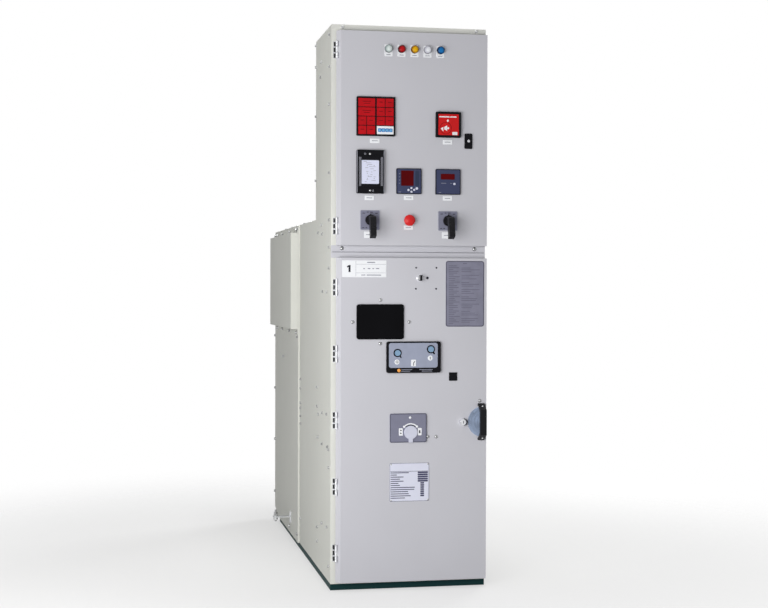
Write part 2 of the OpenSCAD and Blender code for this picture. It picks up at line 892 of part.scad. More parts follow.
module right_meter() {
  meter([right_x, meter_z], right_display_at, right_display);
}

// Rotary switches: plate, neck and contact block, bored for the shaft
module switch_plates() {
  color(plate_grey) for (x = switch_xs) difference() {
    union() {
      along_y([x, switch_z], face_y - switch_plate_t, face_y)
        rounded(switch_plate_w, switch_plate_w, bezel_r);
      along_y([x, switch_z], face_y, inner_face_y) circle(d = barrel_d);
      along_y([x, switch_z], inner_face_y, inner_face_y + switch_block_d)
        square([switch_block_w, switch_block_w], center = true);
    }
    along_y([x, switch_z], face_y - switch_plate_t - cut, face_y - switch_plate_t + shaft_l + cut)
      circle(d = shaft_d + 2 * run_gap);
  }
}

// A pistol grip that hangs down from its hub and leans out, drawn as a side profile
module switch_handle(x) {
  hub_r = switch_hub_d / 2;
  nose_r = switch_grip_t / 2;
  back = face_y - switch_plate_t - knob_gap;
  color(black) {
    along_y([x, switch_z], back - switch_hub_t, back) circle(hub_r);
    along_x(x - switch_grip_w / 2, x + switch_grip_w / 2) translate([back, switch_z]) {
      polygon([
        [0, nose_r], [nose_r - switch_out, nose_r], [-switch_out, 0],
        [-switch_out - switch_lean, -switch_grip_l + switch_grip_cut],
        [switch_grip_t - switch_out - switch_lean, -switch_grip_l],
        [switch_grip_t - switch_out, -nose_r], [0, -nose_r]
      ]);
      translate([nose_r - switch_out, 0]) circle(nose_r);
    }
    along_y([x, switch_z], back, face_y - switch_plate_t + shaft_l) circle(d = shaft_d);
  }
}

module left_switch() {
  switch_handle(left_x);
}

module right_switch() {
  switch_handle(right_x);
}

// Emergency push button: collar with a bored barrel, and a mushroom head on a stem
module mushroom_collar() {
  pos = [middle_x, switch_z];
  color(plate_grey) difference() {
    union() {
      along_y(pos, face_y - collar_t, face_y) circle(d = collar_d);
      along_y(pos, face_y, face_y + barrel_l) circle(d = barrel_d);
    }
    along_y(pos, face_y - collar_t - cut, face_y - collar_t + stem_l + mushroom_travel + cut)
      circle(d = stem_d + 2 * run_gap);
  }
}

module mushroom_button() {
  back = face_y - collar_t - mushroom_travel - head_stop;
  head_r = mushroom_d / 2;
  dome_h = head_t - head_rim_t;
  ball_r = (head_r * head_r + dome_h * dome_h) / (2 * dome_h);
  color(alarm_red) translate([middle_x, back, switch_z]) rotate([90, 0, 0]) {
    cylinder(r = head_r, h = head_rim_t);
    translate([0, 0, head_rim_t]) intersection() {
      translate([0, 0, dome_h - ball_r]) sphere(ball_r);
      cylinder(r = head_r, h = dome_h);
    }
    translate([0, 0, -stem_l]) cylinder(d = stem_d, h = stem_l);
  }
}

// Lock plate with a round boss, and its barrel behind the door
module lv_lock() {
  pos = [lv_lock_x, lv_lock_z];
  color(black) {
    along_y(pos, face_y - lock_plate[2], face_y) rounded(lock_plate[0], lock_plate[1], bezel_r);
    along_y(pos, face_y - lock_plate[2] - lock_boss_t, face_y - lock_plate[2]) circle(d = lock_d);
    along_y(pos, face_y, face_y + lock_barrel_l) circle(d = lock_d);
  }
}

// Breaker door

module breaker_door() {
  color(body_grey) door_pan(door_z0, door_z1) {
    window_cut([window_x, window_z], window_w - 2 * window_lap, window_h - 2 * window_lap);
    round_cut([lock_x, handle_z], lock_d + 2 * cutout_gap);
  }
}

module breaker_door_knuckles() {
  color(zinc) for (z = door_hinge_zs) door_knuckle(z);
}

// Dark pane with a raised frame
module viewing_window() {
  pane_at = [window_x, window_z];
  color([0.08, 0.08, 0.09, 0.8]) difference() {
    along_y(pane_at, face_y - pane_t, face_y) rounded(window_w, window_h, pane_r);
    along_y(pane_at, face_y - pane_t - cut, face_y - pane_t + facia_d)
      rounded(window_w - 2 * window_rim, window_h - 2 * window_rim, pane_r - window_rim / 2);
  }
}

// Panel of the breaker mechanism, with a seat for its facia and bores for the two buttons
module control_panel() {
  pos = [panel_x, panel_z];
  color(plate_grey) difference() {
    along_y(pos, face_y - panel_proud, face_y) rounded(panel_w, panel_h, panel_r);
    facia_seat(pos + panel_facia_at, panel_proud, panel_facia);
    for (button_pos = [off_pos, on_pos])
      along_y(button_pos, face_y - panel_proud - cut, face_y + cut) circle(d = button_d + 2 * run_gap);
  }
}

// A push button that slides in its bore in the control panel
module push_button(pos) {
  color(button_blue)
    along_y(pos, face_y - panel_proud - button_out, face_y - button_rear) circle(d = button_d);
}

module off_button() {
  push_button(off_pos);
}

module on_button() {
  push_button(on_pos);
}

// Plate over the racking shaft
module racking_plate() {
  color(plate_grey)
    along_y([racking_x, racking_z], face_y - racking_t, face_y) rounded(racking_w, racking_h, racking_r);
}

// Round cover over the racking shaft, with a tail down to the lower edge of the plate
module racking_cap() {
  tail_l = racking_h / 2 - cap_drop;
  color(zinc) along_y([racking_x + cap_shift, racking_z - cap_drop], face_y - racking_t - cap_t,
    face_y - racking_t) {
    circle(d = racking_cap_d);
    translate([-tail_w / 2, -tail_l]) square([tail_w, tail_l]);
  }
}

// Half-round plate behind the handle, cut off along the lock edge of the door
module handle_rose() {
  flat_x = rose_inset - door_gap;
  color(plate_grey) along_y([rose_x, handle_z], face_y - rose_t, face_y) difference() {
    circle(rose_r);
    translate([flat_x, -rose_r]) square([rose_r, 2 * rose_r]);
  }
}

// Bow handle with sloping legs, drawn as a side profile
module door_handle() {
  l = grip_l / 2;
  inner = grip_out - grip_t;
  x0 = handle_x - grip_w / 2;
  color(black) along_x(x0, x0 + grip_w) translate([face_y, handle_z]) difference() {
    polygon([
      [0, -l], [-leg_root, -l], [-grip_out, -l + leg_run], [-grip_out, l - leg_run], [-leg_root, l], [0, l]
    ]);
    polygon([
      [cut, -l + foot_h], [-leg_root, -l + foot_h], [-inner, -l + foot_h + leg_run],
      [-inner, l - foot_h - leg_run], [-leg_root, l - foot_h], [cut, l - foot_h]
    ]);
  }
}

module cylinder_lock() {
  pos = [lock_x, handle_z];
  color(zinc) {
    along_y(pos, face_y - lock_out, face_y) circle(d = lock_d + 2 * lock_rim);
    along_y(pos, face_y, face_y + lock_barrel_l) circle(d = lock_d);
  }
}

module square_plug() {
  color(black) along_y([plug_x, plug_z], face_y - plug_t, face_y) square([plug_w, plug_w], center = true);
}

base_cross_rails();
base_side_rails();
floor_plate();
toe_plate();
left_side();
right_side();
left_rear_cover();
right_rear_cover();
rear_covers();
main_roof();
breaker_rear_wall();
busbar_end_box();
earth_bar();
front_posts();
threshold();
header_rail();
lv_sill();
lv_floor();
lv_left_side();
lv_right_side();
lv_back();
lv_posts();
lv_header();
lv_roof();
fixed_hinges();
lv_door();
lv_door_knuckles();
lamp_bezels();
lamp_lenses();
annunciator();
annunciator_windows();
hooter();
relay();
left_meter();
right_meter();
switch_plates();
mushroom_collar();
lv_lock();
left_switch();
right_switch();
mushroom_button();
breaker_door();
breaker_door_knuckles();
viewing_window();
control_panel();
racking_plate();
racking_cap();
handle_rose();
cylinder_lock();
square_plug();
off_button();
on_button();
door_handle();
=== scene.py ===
# %% [markdown]
# # Dressing a metal-clad switchgear cubicle
# The real object is a tall cabinet of folded sheet steel, with two hinged doors, a row of instruments on
# the upper door, and a breaker mechanism behind the lower one. Its solids come packed from the CAD
# source, in metres, and they stay where they are. This lesson gives them their finishes and adds what is
# too thin or too small for solids: facias, rules, screws, lenses and gaskets.

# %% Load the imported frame
import json
import math

import bmesh
import bpy
from mathutils import Matrix, Vector


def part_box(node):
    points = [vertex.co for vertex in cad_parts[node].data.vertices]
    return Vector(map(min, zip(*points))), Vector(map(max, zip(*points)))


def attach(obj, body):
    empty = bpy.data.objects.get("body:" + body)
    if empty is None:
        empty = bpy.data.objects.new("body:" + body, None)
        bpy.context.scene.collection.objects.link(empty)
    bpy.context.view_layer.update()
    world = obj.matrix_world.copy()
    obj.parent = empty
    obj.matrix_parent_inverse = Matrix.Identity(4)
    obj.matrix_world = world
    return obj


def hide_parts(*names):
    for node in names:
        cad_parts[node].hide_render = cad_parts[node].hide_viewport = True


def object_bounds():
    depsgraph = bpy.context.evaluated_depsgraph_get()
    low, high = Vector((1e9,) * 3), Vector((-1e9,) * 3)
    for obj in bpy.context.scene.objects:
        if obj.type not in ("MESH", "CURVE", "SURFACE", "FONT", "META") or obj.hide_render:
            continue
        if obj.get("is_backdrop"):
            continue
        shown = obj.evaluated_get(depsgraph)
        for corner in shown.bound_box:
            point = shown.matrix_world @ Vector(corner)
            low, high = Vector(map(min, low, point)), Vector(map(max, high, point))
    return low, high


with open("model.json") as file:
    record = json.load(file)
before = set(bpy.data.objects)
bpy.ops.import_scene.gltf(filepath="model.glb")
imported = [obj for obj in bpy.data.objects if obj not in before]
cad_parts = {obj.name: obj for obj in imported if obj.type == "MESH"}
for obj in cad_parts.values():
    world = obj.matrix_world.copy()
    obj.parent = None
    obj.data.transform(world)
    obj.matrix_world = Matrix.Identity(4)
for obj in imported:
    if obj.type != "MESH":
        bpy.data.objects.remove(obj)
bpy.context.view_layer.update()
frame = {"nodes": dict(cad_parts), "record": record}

# %% [markdown]
# ## The camera
# The picture was taken from the left of the cabinet, a little above its middle, with a long lens. The
# edges of the doors fix where the camera stood, so it is set from numbers: a place, a turn, a slight tilt
# down and a hair of roll. Building the matrix from three directions keeps the roll exact, which aiming at
# a point would not.

# %% Set the camera
CAMERA_PLACE = Vector((-1.12722, -6.23644, 1.155185))
CAMERA_TURN = math.radians(10.783)
CAMERA_DIP = math.radians(0.73)
CAMERA_ROLL = math.radians(0.141)
SENSOR_MM = 36
FOCAL_PIXELS = 1449.112
PICTURE_WIDTH = 768

ahead = Vector((
    math.sin(CAMERA_TURN) * math.cos(CAMERA_DIP),
    math.cos(CAMERA_TURN) * math.cos(CAMERA_DIP),
    -math.sin(CAMERA_DIP),
))
right = Vector((math.cos(CAMERA_TURN), -math.sin(CAMERA_TURN), 0))
up = right.cross(ahead)
across = right * math.cos(CAMERA_ROLL) + up * math.sin(CAMERA_ROLL)
upward = up * math.cos(CAMERA_ROLL) - right * math.sin(CAMERA_ROLL)

camera_data = bpy.data.cameras.new("photo_camera")
camera_data.sensor_width = SENSOR_MM
camera_data.lens = FOCAL_PIXELS * SENSOR_MM / PICTURE_WIDTH
camera = bpy.data.objects.new("photo_camera", camera_data)
camera_axes = Matrix((across, upward, -ahead)).transposed().to_4x4()
camera.matrix_world = Matrix.Translation(CAMERA_PLACE) @ camera_axes
bpy.context.scene.collection.objects.link(camera)
bpy.context.scene.camera = camera
print("lens in mm:", round(camera_data.lens, 2))

# %% [markdown]
# ## Places to work on
# Every small piece is drawn flat, in millimetres, and then put on one face of the cabinet. A place is a
# function that takes two numbers along the face and one number out from it, and gives a point in metres.
# The faces are read from the solids, so that the pieces follow them.

# %% Name the faces of the cabinet
MM = 0.001
FACE_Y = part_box("lv_door")[0].y
FRONT_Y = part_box("front_posts")[0].y
BACK_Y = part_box("rear_covers")[1].y
SIDE_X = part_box("left_side")[0].x
COVER_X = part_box("left_rear_cover")[0].x
DECK_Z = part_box("main_roof")[1].z


def facing_front(y):
    return lambda u, v, out: Vector((u * MM, y - out * MM, v * MM))


def facing_back(y):
    return lambda u, v, out: Vector((u * MM, y + out * MM, v * MM))


def facing_side(x):
    side = 1 if x > 0 else -1
    return lambda u, v, out: Vector((x + side * out * MM, FRONT_Y + u * MM, v * MM))


def facing_up(z):
    return lambda u, v, out: Vector((u * MM, FRONT_Y + v * MM, z + out * MM))


on_door = facing_front(FACE_Y)
on_frame = facing_front(FRONT_Y)
on_back = facing_back(BACK_Y)
print("door face at", round(FACE_Y, 4), "frame at", round(FRONT_Y, 4), "back at", round(BACK_Y, 4))

# %% [markdown]
# ## Outlines
# Plates, labels and windows start as an outline. The round ones come from arcs: four of them make a
# rounded rectangle, and two make a crescent, which is a band bent round a centre. A disc with few sides
# is a hexagon or a diamond. To break the sharp front edge of a plate, its outline is also needed a little
# smaller, so shrink() moves each side inwards by the same distance.


# %% Draw outlines
QUARTER = 90
NO_TURN = 1e-6
LEAST_BEND = 0.5


def arc(cx, cz, r, start, end, steps):
    angles = [math.radians(start + (end - start) * i / steps) for i in range(steps + 1)]
    return [(cx + r * math.cos(a), cz + r * math.sin(a)) for a in angles]


def rounded(cx, cz, w, h, r, steps=5):
    points = []
    for number, (sx, sz) in enumerate(((1, 1), (-1, 1), (-1, -1), (1, -1))):
        corner = (cx + sx * (w / 2 - r), cz + sz * (h / 2 - r))
        points += arc(*corner, r, QUARTER * number, QUARTER * (number + 1), steps)
    return points


def crescent(cx, cz, outer, inner, start, end, steps):
    return arc(cx, cz, outer, start, end, steps) + arc(cx, cz, inner, end, start, steps)


def disc(cx, cz, r, sides, turn=0.0):
    angles = [turn + 2 * math.pi * i / sides for i in range(sides)]
    return [(cx + r * math.cos(a), cz + r * math.sin(a)) for a in angles]


def shrink(outline, distance):
    moved = []
    for i, corner in enumerate(outline):
        here = Vector(corner)
        first = (here - Vector(outline[i - 1])).normalized()
        second = (Vector(outline[(i + 1) % len(outline)]) - here).normalized()
        inward = Vector((-first.y, first.x)) + Vector((-second.y, second.x))
        if inward.length > NO_TURN:
            inward.normalize()
        bend = max(LEAST_BEND, inward.dot(Vector((-second.y, second.x))))
        moved.append(tuple(here + inward * (distance / bend)))
    return moved


print("a rounded plate has", len(rounded(0, 0, 10, 10, 2)), "corners")

# %% [markdown]
# ## From outlines to meshes
# A Bag collects corners and faces, so that forty screws become one mesh and not forty objects. skin()
# joins a row of rings into a closed body, and tube() joins the last ring to the first, which gives a
# frame with a hole. plate() makes flat pieces with a broken edge, and turned() makes round ones, as a
# lathe would from a profile of radius and height.


# %% Build meshes from rings
class Bag:
    def __init__(self):
        self.corners, self.faces = [], []

    def add(self, rings):
        starts = []
        for ring in rings:
            starts.append(len(self.corners))
            self.corners.extend(ring)
        return starts

    def join(self, low, high, count):
        for i in range(count):
            j = (i + 1) % count
            self.faces.append((low + i, low + j, high + j, high + i))

    def skin(self, rings):
        starts = self.add(rings)
        count = len(rings[0])
        for low, high in zip(starts, starts[1:]):
            self.join(low, high, count)
        self.faces.append(tuple(range(starts[0] + count - 1, starts[0] - 1, -1)))
        self.faces.append(tuple(range(starts[-1], starts[-1] + count)))

    def tube(self, rings):
        starts = self.add(rings)
        for low, high in zip(starts, starts[1:] + starts[:1]):
            self.join(low, high, len(rings[0]))


def plate(bag, place, outline, low, high, edge):
    inner = shrink(outline, edge)
    bag.skin([
        [place(u, v, low) for u, v in outline],
        [place(u, v, high - edge) for u, v in outline],
        [place(u, v, high) for u, v in inner],
    ])


def turned(bag, place, cu, cv, profile, sides):
    bag.skin([[place(u, v, out) for u, v in disc(cu, cv, r, sides)] for r, out in profile])


sample = Bag()
turned(sample, on_door, 0, 0, [(5, 0), (5, 2)], 28)
print("a plain turned disc has", len(sample.faces), "faces")

# %% [markdown]
# ## From meshes to pieces
# A piece is an object that rides on a body of the cabinet and takes the finish it is given.
# Bags are filled without care for which way a face looks, so the normals are turned outwards here, once
# for all pieces. Edges sharper than a set angle stay sharp, and the rest is shaded smooth.


# %% Turn a bag into a piece
SHARP_FROM = 32


def piece(name, bag, finish, body, sharp=SHARP_FROM):
    mesh = bpy.data.meshes.new(name)
    mesh.from_pydata(bag.corners, [], bag.faces)
    shell = bmesh.new()
    shell.from_mesh(mesh)
    bmesh.ops.recalc_face_normals(shell, faces=shell.faces)
    shell.to_mesh(mesh)
    shell.free()
    mesh.shade_smooth()
    mesh.set_sharp_from_angle(angle=math.radians(sharp))
    mesh.materials.append(finish)
    made = bpy.data.objects.new(name, mesh)
    bpy.context.scene.collection.objects.link(made)
    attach(made, body)
    print(name, "has", len(mesh.polygons), "faces")
    return made


slots = {subpart["material_slot"] for subpart in frame["record"]["subparts"]}
print("the record has", len(slots), "slots for finishes")

# %% [markdown]
# ## Finishes
# Colours are written as they look on a screen and turned into the linear values that the shader works in.
# Each finish starts from one shader, with its constant values set on the sockets, and then gets the
# variation that the real surface has: a slow drift of tone, a change of gloss, and a fine relief.


# %% Start a finish
PLAIN_MIRROR = 0.3
DRIFT_STOPS = (0.32, 0.68)


def seen(red, green, blue):
    def linear(value):
        value /= 255
        return value / 12.92 if value <= 0.04045 else ((value + 0.055) / 1.055) ** 2.4

    return tuple(linear(v) for v in (red, green, blue))


def start_finish(name, colour, gloss_off, metal=0.0):
    finish = bpy.data.materials.new(name)
    finish.use_nodes = True
    tree = finish.node_tree
    shader = tree.nodes["Principled BSDF"]
    shader.inputs["Base Color"].default_value = (*colour, 1)
    shader.inputs["Roughness"].default_value = gloss_off
    shader.inputs["Metallic"].default_value = metal
    shader.inputs["Specular IOR Level"].default_value = PLAIN_MIRROR
    where = tree.nodes.new("ShaderNodeTexCoord").outputs["Object"]
    return finish, tree, shader, where


def noise(tree, where, scale, detail):
    node = tree.nodes.new("ShaderNodeTexNoise")
    node.inputs["Scale"].default_value = scale
    node.inputs["Detail"].default_value = detail
    tree.links.new(where, node.inputs["Vector"])
    return node.outputs[0]


def ramp(tree, value, stops):
    node = tree.nodes.new("ShaderNodeValToRGB")
    while len(node.color_ramp.elements) < len(stops):
        node.color_ramp.elements.new(0.5)
    for element, (position, colour) in zip(node.color_ramp.elements, stops):
        element.position = position
        element.color = (*colour, 1)
    tree.links.new(value, node.inputs["Fac"])
    return node.outputs["Color"]


def tone(colour, factor):
    return tuple(min(1.0, v * factor) for v in colour)


def drift(tree, shader, where, colour, spread, scale):
    stops = list(zip(DRIFT_STOPS, (tone(colour, 1 - spread), tone(colour, 1 + spread))))
    tree.links.new(ramp(tree, noise(tree, where, scale, 3.0), stops), shader.inputs["Base Color"])


def uneven_gloss(tree, shader, where, low, high, scale):
    node = tree.nodes.new("ShaderNodeMapRange")
    node.inputs["To Min"].default_value = low
    node.inputs["To Max"].default_value = high
    tree.links.new(noise(tree, where, scale, 4.0), node.inputs["Value"])
    tree.links.new(node.outputs["Result"], shader.inputs["Roughness"])


def relief(tree, shader, height, strength, depth_mm):
    node = tree.nodes.new("ShaderNodeBump")
    node.inputs["Strength"].default_value = strength
    node.inputs["Distance"].default_value = depth_mm * MM
    tree.links.new(height, node.inputs["Height"])
    tree.links.new(node.outputs["Normal"], shader.inputs["Normal"])


print("a screen grey of 128 is", round(seen(128, 128, 128)[0], 3), "in linear light")

# %% [markdown]
# ### Powder coat
# The sheets are sprayed with powder and baked. The surface has a fine orange-peel relief, a satin gloss
# that varies a little and a faint drift of tone. Near the floor the tone is painted darker by a few
# hundredths, as painted shade. It follows the height on the object and not the view, and it fades out
# through noise. The body is duller than the doors: its sheets are seen at a flat angle, where a glossy
# coat would mirror the white world.


# %% Powder coat
# Painted shade towards the floor: the heights where it starts and ends, its share, its tone and its noise.
FLOOR_SHADE_FROM, FLOOR_SHADE_TO = 0.02, 0.55
FLOOR_SHADE_SHARE, FLOOR_SHADE_TONE = 0.16, 0.62
FLOOR_SHADE_SCALE, TONE_SCALE, GLOSS_SCALE, PEEL_SCALE = 7.0, 1.6, 9.0, 420.0
PEEL_STRENGTH, PEEL_MM = 0.35, 0.05


# Painted shade: a share that grows towards the floor, broken by noise, which darkens the coat there.
def painted_floor_shade(tree, where):
    height = tree.nodes.new("ShaderNodeSeparateXYZ")
    tree.links.new(where, height.inputs["Vector"])
    shade_ramp = tree.nodes.new("ShaderNodeMapRange")
    shade_ramp.inputs["From Min"].default_value = FLOOR_SHADE_FROM
    shade_ramp.inputs["From Max"].default_value = FLOOR_SHADE_TO
    shade_ramp.inputs["To Min"].default_value = FLOOR_SHADE_SHARE
    shade_ramp.inputs["To Max"].default_value = 0.0
    tree.links.new(height.outputs["Z"], shade_ramp.inputs["Value"])
    floor_shade = tree.nodes.new("ShaderNodeMath")
    floor_shade.operation = "MULTIPLY"
    tree.links.new(shade_ramp.outputs["Result"], floor_shade.inputs[0])
    tree.links.new(noise(tree, where, FLOOR_SHADE_SCALE, 5.0), floor_shade.inputs[1])
    return floor_shade.outputs["Value"]


def powder_coat(name, colour, dull, shine, mirror):
    finish, tree, shader, where = start_finish(name, colour, dull)
    shader.inputs["Specular IOR Level"].default_value = mirror
    stops = [(0.3, tone(colour, 0.965)), (0.7, tone(colour, 1.025))]
    slow = ramp(tree, noise(tree, where, TONE_SCALE, 3.0), stops)
    # The mix darkens the coat near the floor as painted shade.
    mixed = tree.nodes.new("ShaderNodeMix")
    mixed.data_type = "RGBA"
    mixed.inputs["B"].default_value = (*tone(colour, FLOOR_SHADE_TONE), 1)
    tree.links.new(painted_floor_shade(tree, where), mixed.inputs["Factor"])
    tree.links.new(slow, mixed.inputs["A"])
    tree.links.new(mixed.outputs["Result"], shader.inputs["Base Color"])
    uneven_gloss(tree, shader, where, shine, dull, GLOSS_SCALE)
    relief(tree, shader, noise(tree, where, PEEL_SCALE, 2.0), PEEL_STRENGTH, PEEL_MM)
    return finish


body_coat = powder_coat("body_coat", seen(222, 223, 217), 0.66, 0.56, 0.06)
door_coat = powder_coat("door_coat", seen(201, 201, 208), 0.46, 0.34, 0.3)
base_coat = powder_coat("base_coat", seen(25, 54, 55), 0.56, 0.46, 0.04)
print("powder coats:", body_coat.name, door_coat.name, base_coat.name)

# %% [markdown]
# ### Zinc and chrome
# Hinges, bolts and the inner sheets are zinc plated. Galvanised sheet shows crystals, which a cell
# pattern gives in two tones of grey with their own gloss. Chrome on the locks is the same metal shader,
# almost smooth.


# %% Zinc and chrome
DARK_CRYSTAL, PALE_CRYSTAL = 0.86, 1.1
PIT_SCALE, PIT_STRENGTH, PIT_MM = 900.0, 0.15, 0.02


def plated(name, colour, low, high, crystal):
    finish, tree, shader, where = start_finish(name, colour, low, 1.0)
    cells = tree.nodes.new("ShaderNodeTexVoronoi")
    cells.inputs["Scale"].default_value = crystal
    tree.links.new(where, cells.inputs["Vector"])
    grey = tree.nodes.new("ShaderNodeSeparateColor")
    tree.links.new(cells.outputs["Color"], grey.inputs["Color"])
    stops = [(0.0, tone(colour, DARK_CRYSTAL)), (1.0, tone(colour, PALE_CRYSTAL))]
    tree.links.new(ramp(tree, grey.outputs["Red"], stops), shader.inputs["Base Color"])
    spread = tree.nodes.new("ShaderNodeMapRange")
    spread.inputs["To Min"].default_value = low
    spread.inputs["To Max"].default_value = high
    tree.links.new(grey.outputs["Green"], spread.inputs["Value"])
    tree.links.new(spread.outputs["Result"], shader.inputs["Roughness"])
    relief(tree, shader, noise(tree, where, PIT_SCALE, 2.0), PIT_STRENGTH, PIT_MM)
    return finish


zinc_sheet = plated("zinc_sheet", seen(196, 198, 200), 0.36, 0.56, 55.0)
zinc_bolt = plated("zinc_bolt", seen(186, 187, 188), 0.24, 0.38, 240.0)
hinge_zinc = plated("hinge_zinc", seen(200, 201, 204), 0.34, 0.5, 180.0)
chrome = plated("chrome", seen(214, 215, 219), 0.08, 0.14, 60.0)
print("metals:", zinc_sheet.name, zinc_bolt.name, hinge_zinc.name, chrome.name)

# %% [markdown]
# ### Moulded plastics and printed colours
# Instrument cases are moulded with a fine grain that dulls the gloss. Buttons and keys are smoother, some
# with a thin clear layer that gives a sharp highlight. Printing ink is thin and matt. One function makes
# all of them, because only the colour, the gloss, the grain, the clear layer and the mirror share change.
# Dark plastics mirror a bright world as a grey veil, so their mirror share is kept low and the black
# stays black.


# %% Moulded plastics and inks
TINT_SCALE, WEAR_SCALE, GRAIN_SCALE, GRAIN_STRENGTH = 28.0, 60.0, 1300.0, 0.5
LEAST_WEAR, MOST_WEAR, CLEAR_GLOSS = 0.85, 1.15, 0.06


def moulded(name, colour, gloss_off, grain_mm=0.0, clear=0.0, spread=0.04, mirror=0.2):
    finish, tree, shader, where = start_finish(name, colour, gloss_off)
    shader.inputs["Specular IOR Level"].default_value = mirror
    drift(tree, shader, where, colour, spread, TINT_SCALE)
    uneven_gloss(tree, shader, where, gloss_off * LEAST_WEAR, gloss_off * MOST_WEAR, WEAR_SCALE)
    if grain_mm:
        relief(tree, shader, noise(tree, where, GRAIN_SCALE, 3.0), GRAIN_STRENGTH, grain_mm)
    shader.inputs["Coat Weight"].default_value = clear
    shader.inputs["Coat Roughness"].default_value = CLEAR_GLOSS
    return finish


black_case = moulded("black_case", seen(16, 16, 20), 0.44, 0.03, mirror=0.07)
black_grip = moulded("black_grip", seen(16, 16, 20), 0.36, 0.04, mirror=0.14)
navy_case = moulded("navy_case", seen(58, 64, 94), 0.4, 0.02)
navy_rim = moulded("navy_rim", seen(30, 33, 46), 0.42, 0.02, mirror=0.14)
grey_plastic = moulded("grey_plastic", seen(128, 129, 148), 0.42, 0.02)
panel_grey = moulded("panel_grey", seen(158, 164, 184), 0.35, 0.01)
pale_plastic = moulded("pale_plastic", seen(210, 212, 228), 0.34, 0.01)
alarm_red = moulded("alarm_red", seen(184, 16, 26), 0.3, 0.0, 0.0, 0.12, 0.12)
face_red = moulded("face_red", seen(206, 32, 34), 0.34, 0.0, 0.0, 0.04, 0.12)
button_red = moulded("button_red", seen(212, 34, 36), 0.3, 0.01, 0.08)
button_blue = moulded("button_blue", seen(132, 164, 194), 0.3, 0.01, 0.08)
key_blue = moulded("key_blue", seen(112, 176, 222), 0.25, 0.0, 0.15)
key_ring_blue = moulded("key_ring_blue", seen(36, 116, 188), 0.3)
label_white = moulded("label_white", seen(244, 246, 250), 0.4, 0.0, 0.05, 0.01)
amber = moulded("amber", seen(246, 166, 74), 0.2, 0.0, 0.3)
# Dark ink for print, which also gives the painted shadow arc round the racking cover.
ink_and_shade_dark = moulded("ink_and_shade_dark", seen(40, 40, 50), 0.55, mirror=0.12)
ink_grey = moulded("ink_grey", seen(140, 142, 156), 0.55)
ink_red = moulded("ink_red", seen(112, 8, 16), 0.4, mirror=0.12)
ink_white = moulded("ink_white", seen(240, 240, 244), 0.5)
# Dark rubber for the gaskets, which also gives the painted shadow rings and socket shade of the screws.
rubber_and_shade = moulded("rubber_and_shade", seen(36, 36, 38), 0.7, 0.06, mirror=0.1)
print("last of the inks:", ink_white.name, "and the gaskets:", rubber_and_shade.name)

# %% [markdown]
# ### Glass
# The viewing window and the displays are dark, polished and nearly flat. They are not clear enough to
# show what lies behind, so a dark polished base gives the same look as tinted glass and keeps the picture
# free of noise.


# %% Glass
GLASS_GLOSS, GLASS_MIRROR = 0.07, 0.04
GLASS_TINT, GLASS_TINT_SCALE = 0.15, 6.0
BOW_SCALE, BOW_STRENGTH, BOW_MM = 14.0, 0.08, 0.3


def tinted(name, colour):
    finish, tree, shader, where = start_finish(name, colour, GLASS_GLOSS)
    drift(tree, shader, where, colour, GLASS_TINT, GLASS_TINT_SCALE)
    relief(tree, shader, noise(tree, where, BOW_SCALE, 1.0), BOW_STRENGTH, BOW_MM)
    shader.inputs["Specular IOR Level"].default_value = GLASS_MIRROR
    return finish


window_glass = tinted("window_glass", seen(12, 12, 15))
display_red = tinted("display_red", seen(88, 5, 10))
display_band = tinted("display_band", seen(52, 60, 82))
print("glass:", window_glass.name, display_red.name, display_band.name)

# %% [markdown]
# ## Dressing the solids
# Each solid names its slot in the record, so the finishes go on by slot, and the few that differ from
# their slot go on by name. Folded sheet has no knife edges. A weld joins the corners of the imported
# mesh, and triangles that lie in one plane become one face again. A bevel of about a millimetre then
# rounds the folds, so that they catch the light, and normals weighted by area keep the wide sheets flat
# between them. All four are modifiers, and the solids themselves don't change.

# %% Give the solids their finishes
finish_of_slot = {
    "body_paint": body_coat,
    "door_paint": door_coat,
    "base_paint": base_coat,
    "zinc": zinc_sheet,
    "black_plastic": black_case,
    "lens": pale_plastic,
    "red_plastic": button_red,
    "navy_plastic": navy_rim,
    "grey_plate": grey_plastic,
    "pale_plastic": pale_plastic,
    "dark_glass": window_glass,
    "chrome": chrome,
    "blue_plastic": button_blue,
}
finish_of_node = {
    "fixed_hinges": hinge_zinc,
    "lv_door_knuckles": hinge_zinc,
    "breaker_door_knuckles": hinge_zinc,
    "control_panel": black_case,
    "header_rail": door_coat,
    "lv_sill": door_coat,
    "left_switch": black_grip,
    "right_switch": black_grip,
    "door_handle": black_grip,
}
WELD_REACH = 0.00001
FLAT_WITHIN = math.radians(0.5)
FOLD_FROM = math.radians(40)
FOLD_STEPS = 2
WIDE_FACES_LEAD = 100


def soften(node, fold_mm):
    weld = node.modifiers.new("weld", "WELD")
    weld.merge_threshold = WELD_REACH
    flat = node.modifiers.new("flat", "DECIMATE")
    flat.decimate_type = "DISSOLVE"
    flat.angle_limit = FLAT_WITHIN
    bevel = node.modifiers.new("folds", "BEVEL")
    bevel.width = fold_mm * MM
    bevel.segments = FOLD_STEPS
    bevel.limit_method = "ANGLE"
    bevel.angle_limit = FOLD_FROM
    even = node.modifiers.new("even", "WEIGHTED_NORMAL")
    even.weight = WIDE_FACES_LEAD


fold_of_slot = {
    "body_paint": 0.9,
    "door_paint": 0.9,
    "base_paint": 0.8,
    "black_plastic": 1.0,
    "grey_plate": 0.8,
}
for subpart in frame["record"]["subparts"]:
    node = frame["nodes"][subpart["node"]]
    slot = subpart["material_slot"]
    node.data.materials.clear()
    node.data.materials.append(finish_of_node.get(subpart["node"], finish_of_slot[slot]))
    if slot in fold_of_slot:
        soften(node, fold_of_slot[slot])
print("dressed", len(frame["nodes"]), "solids")
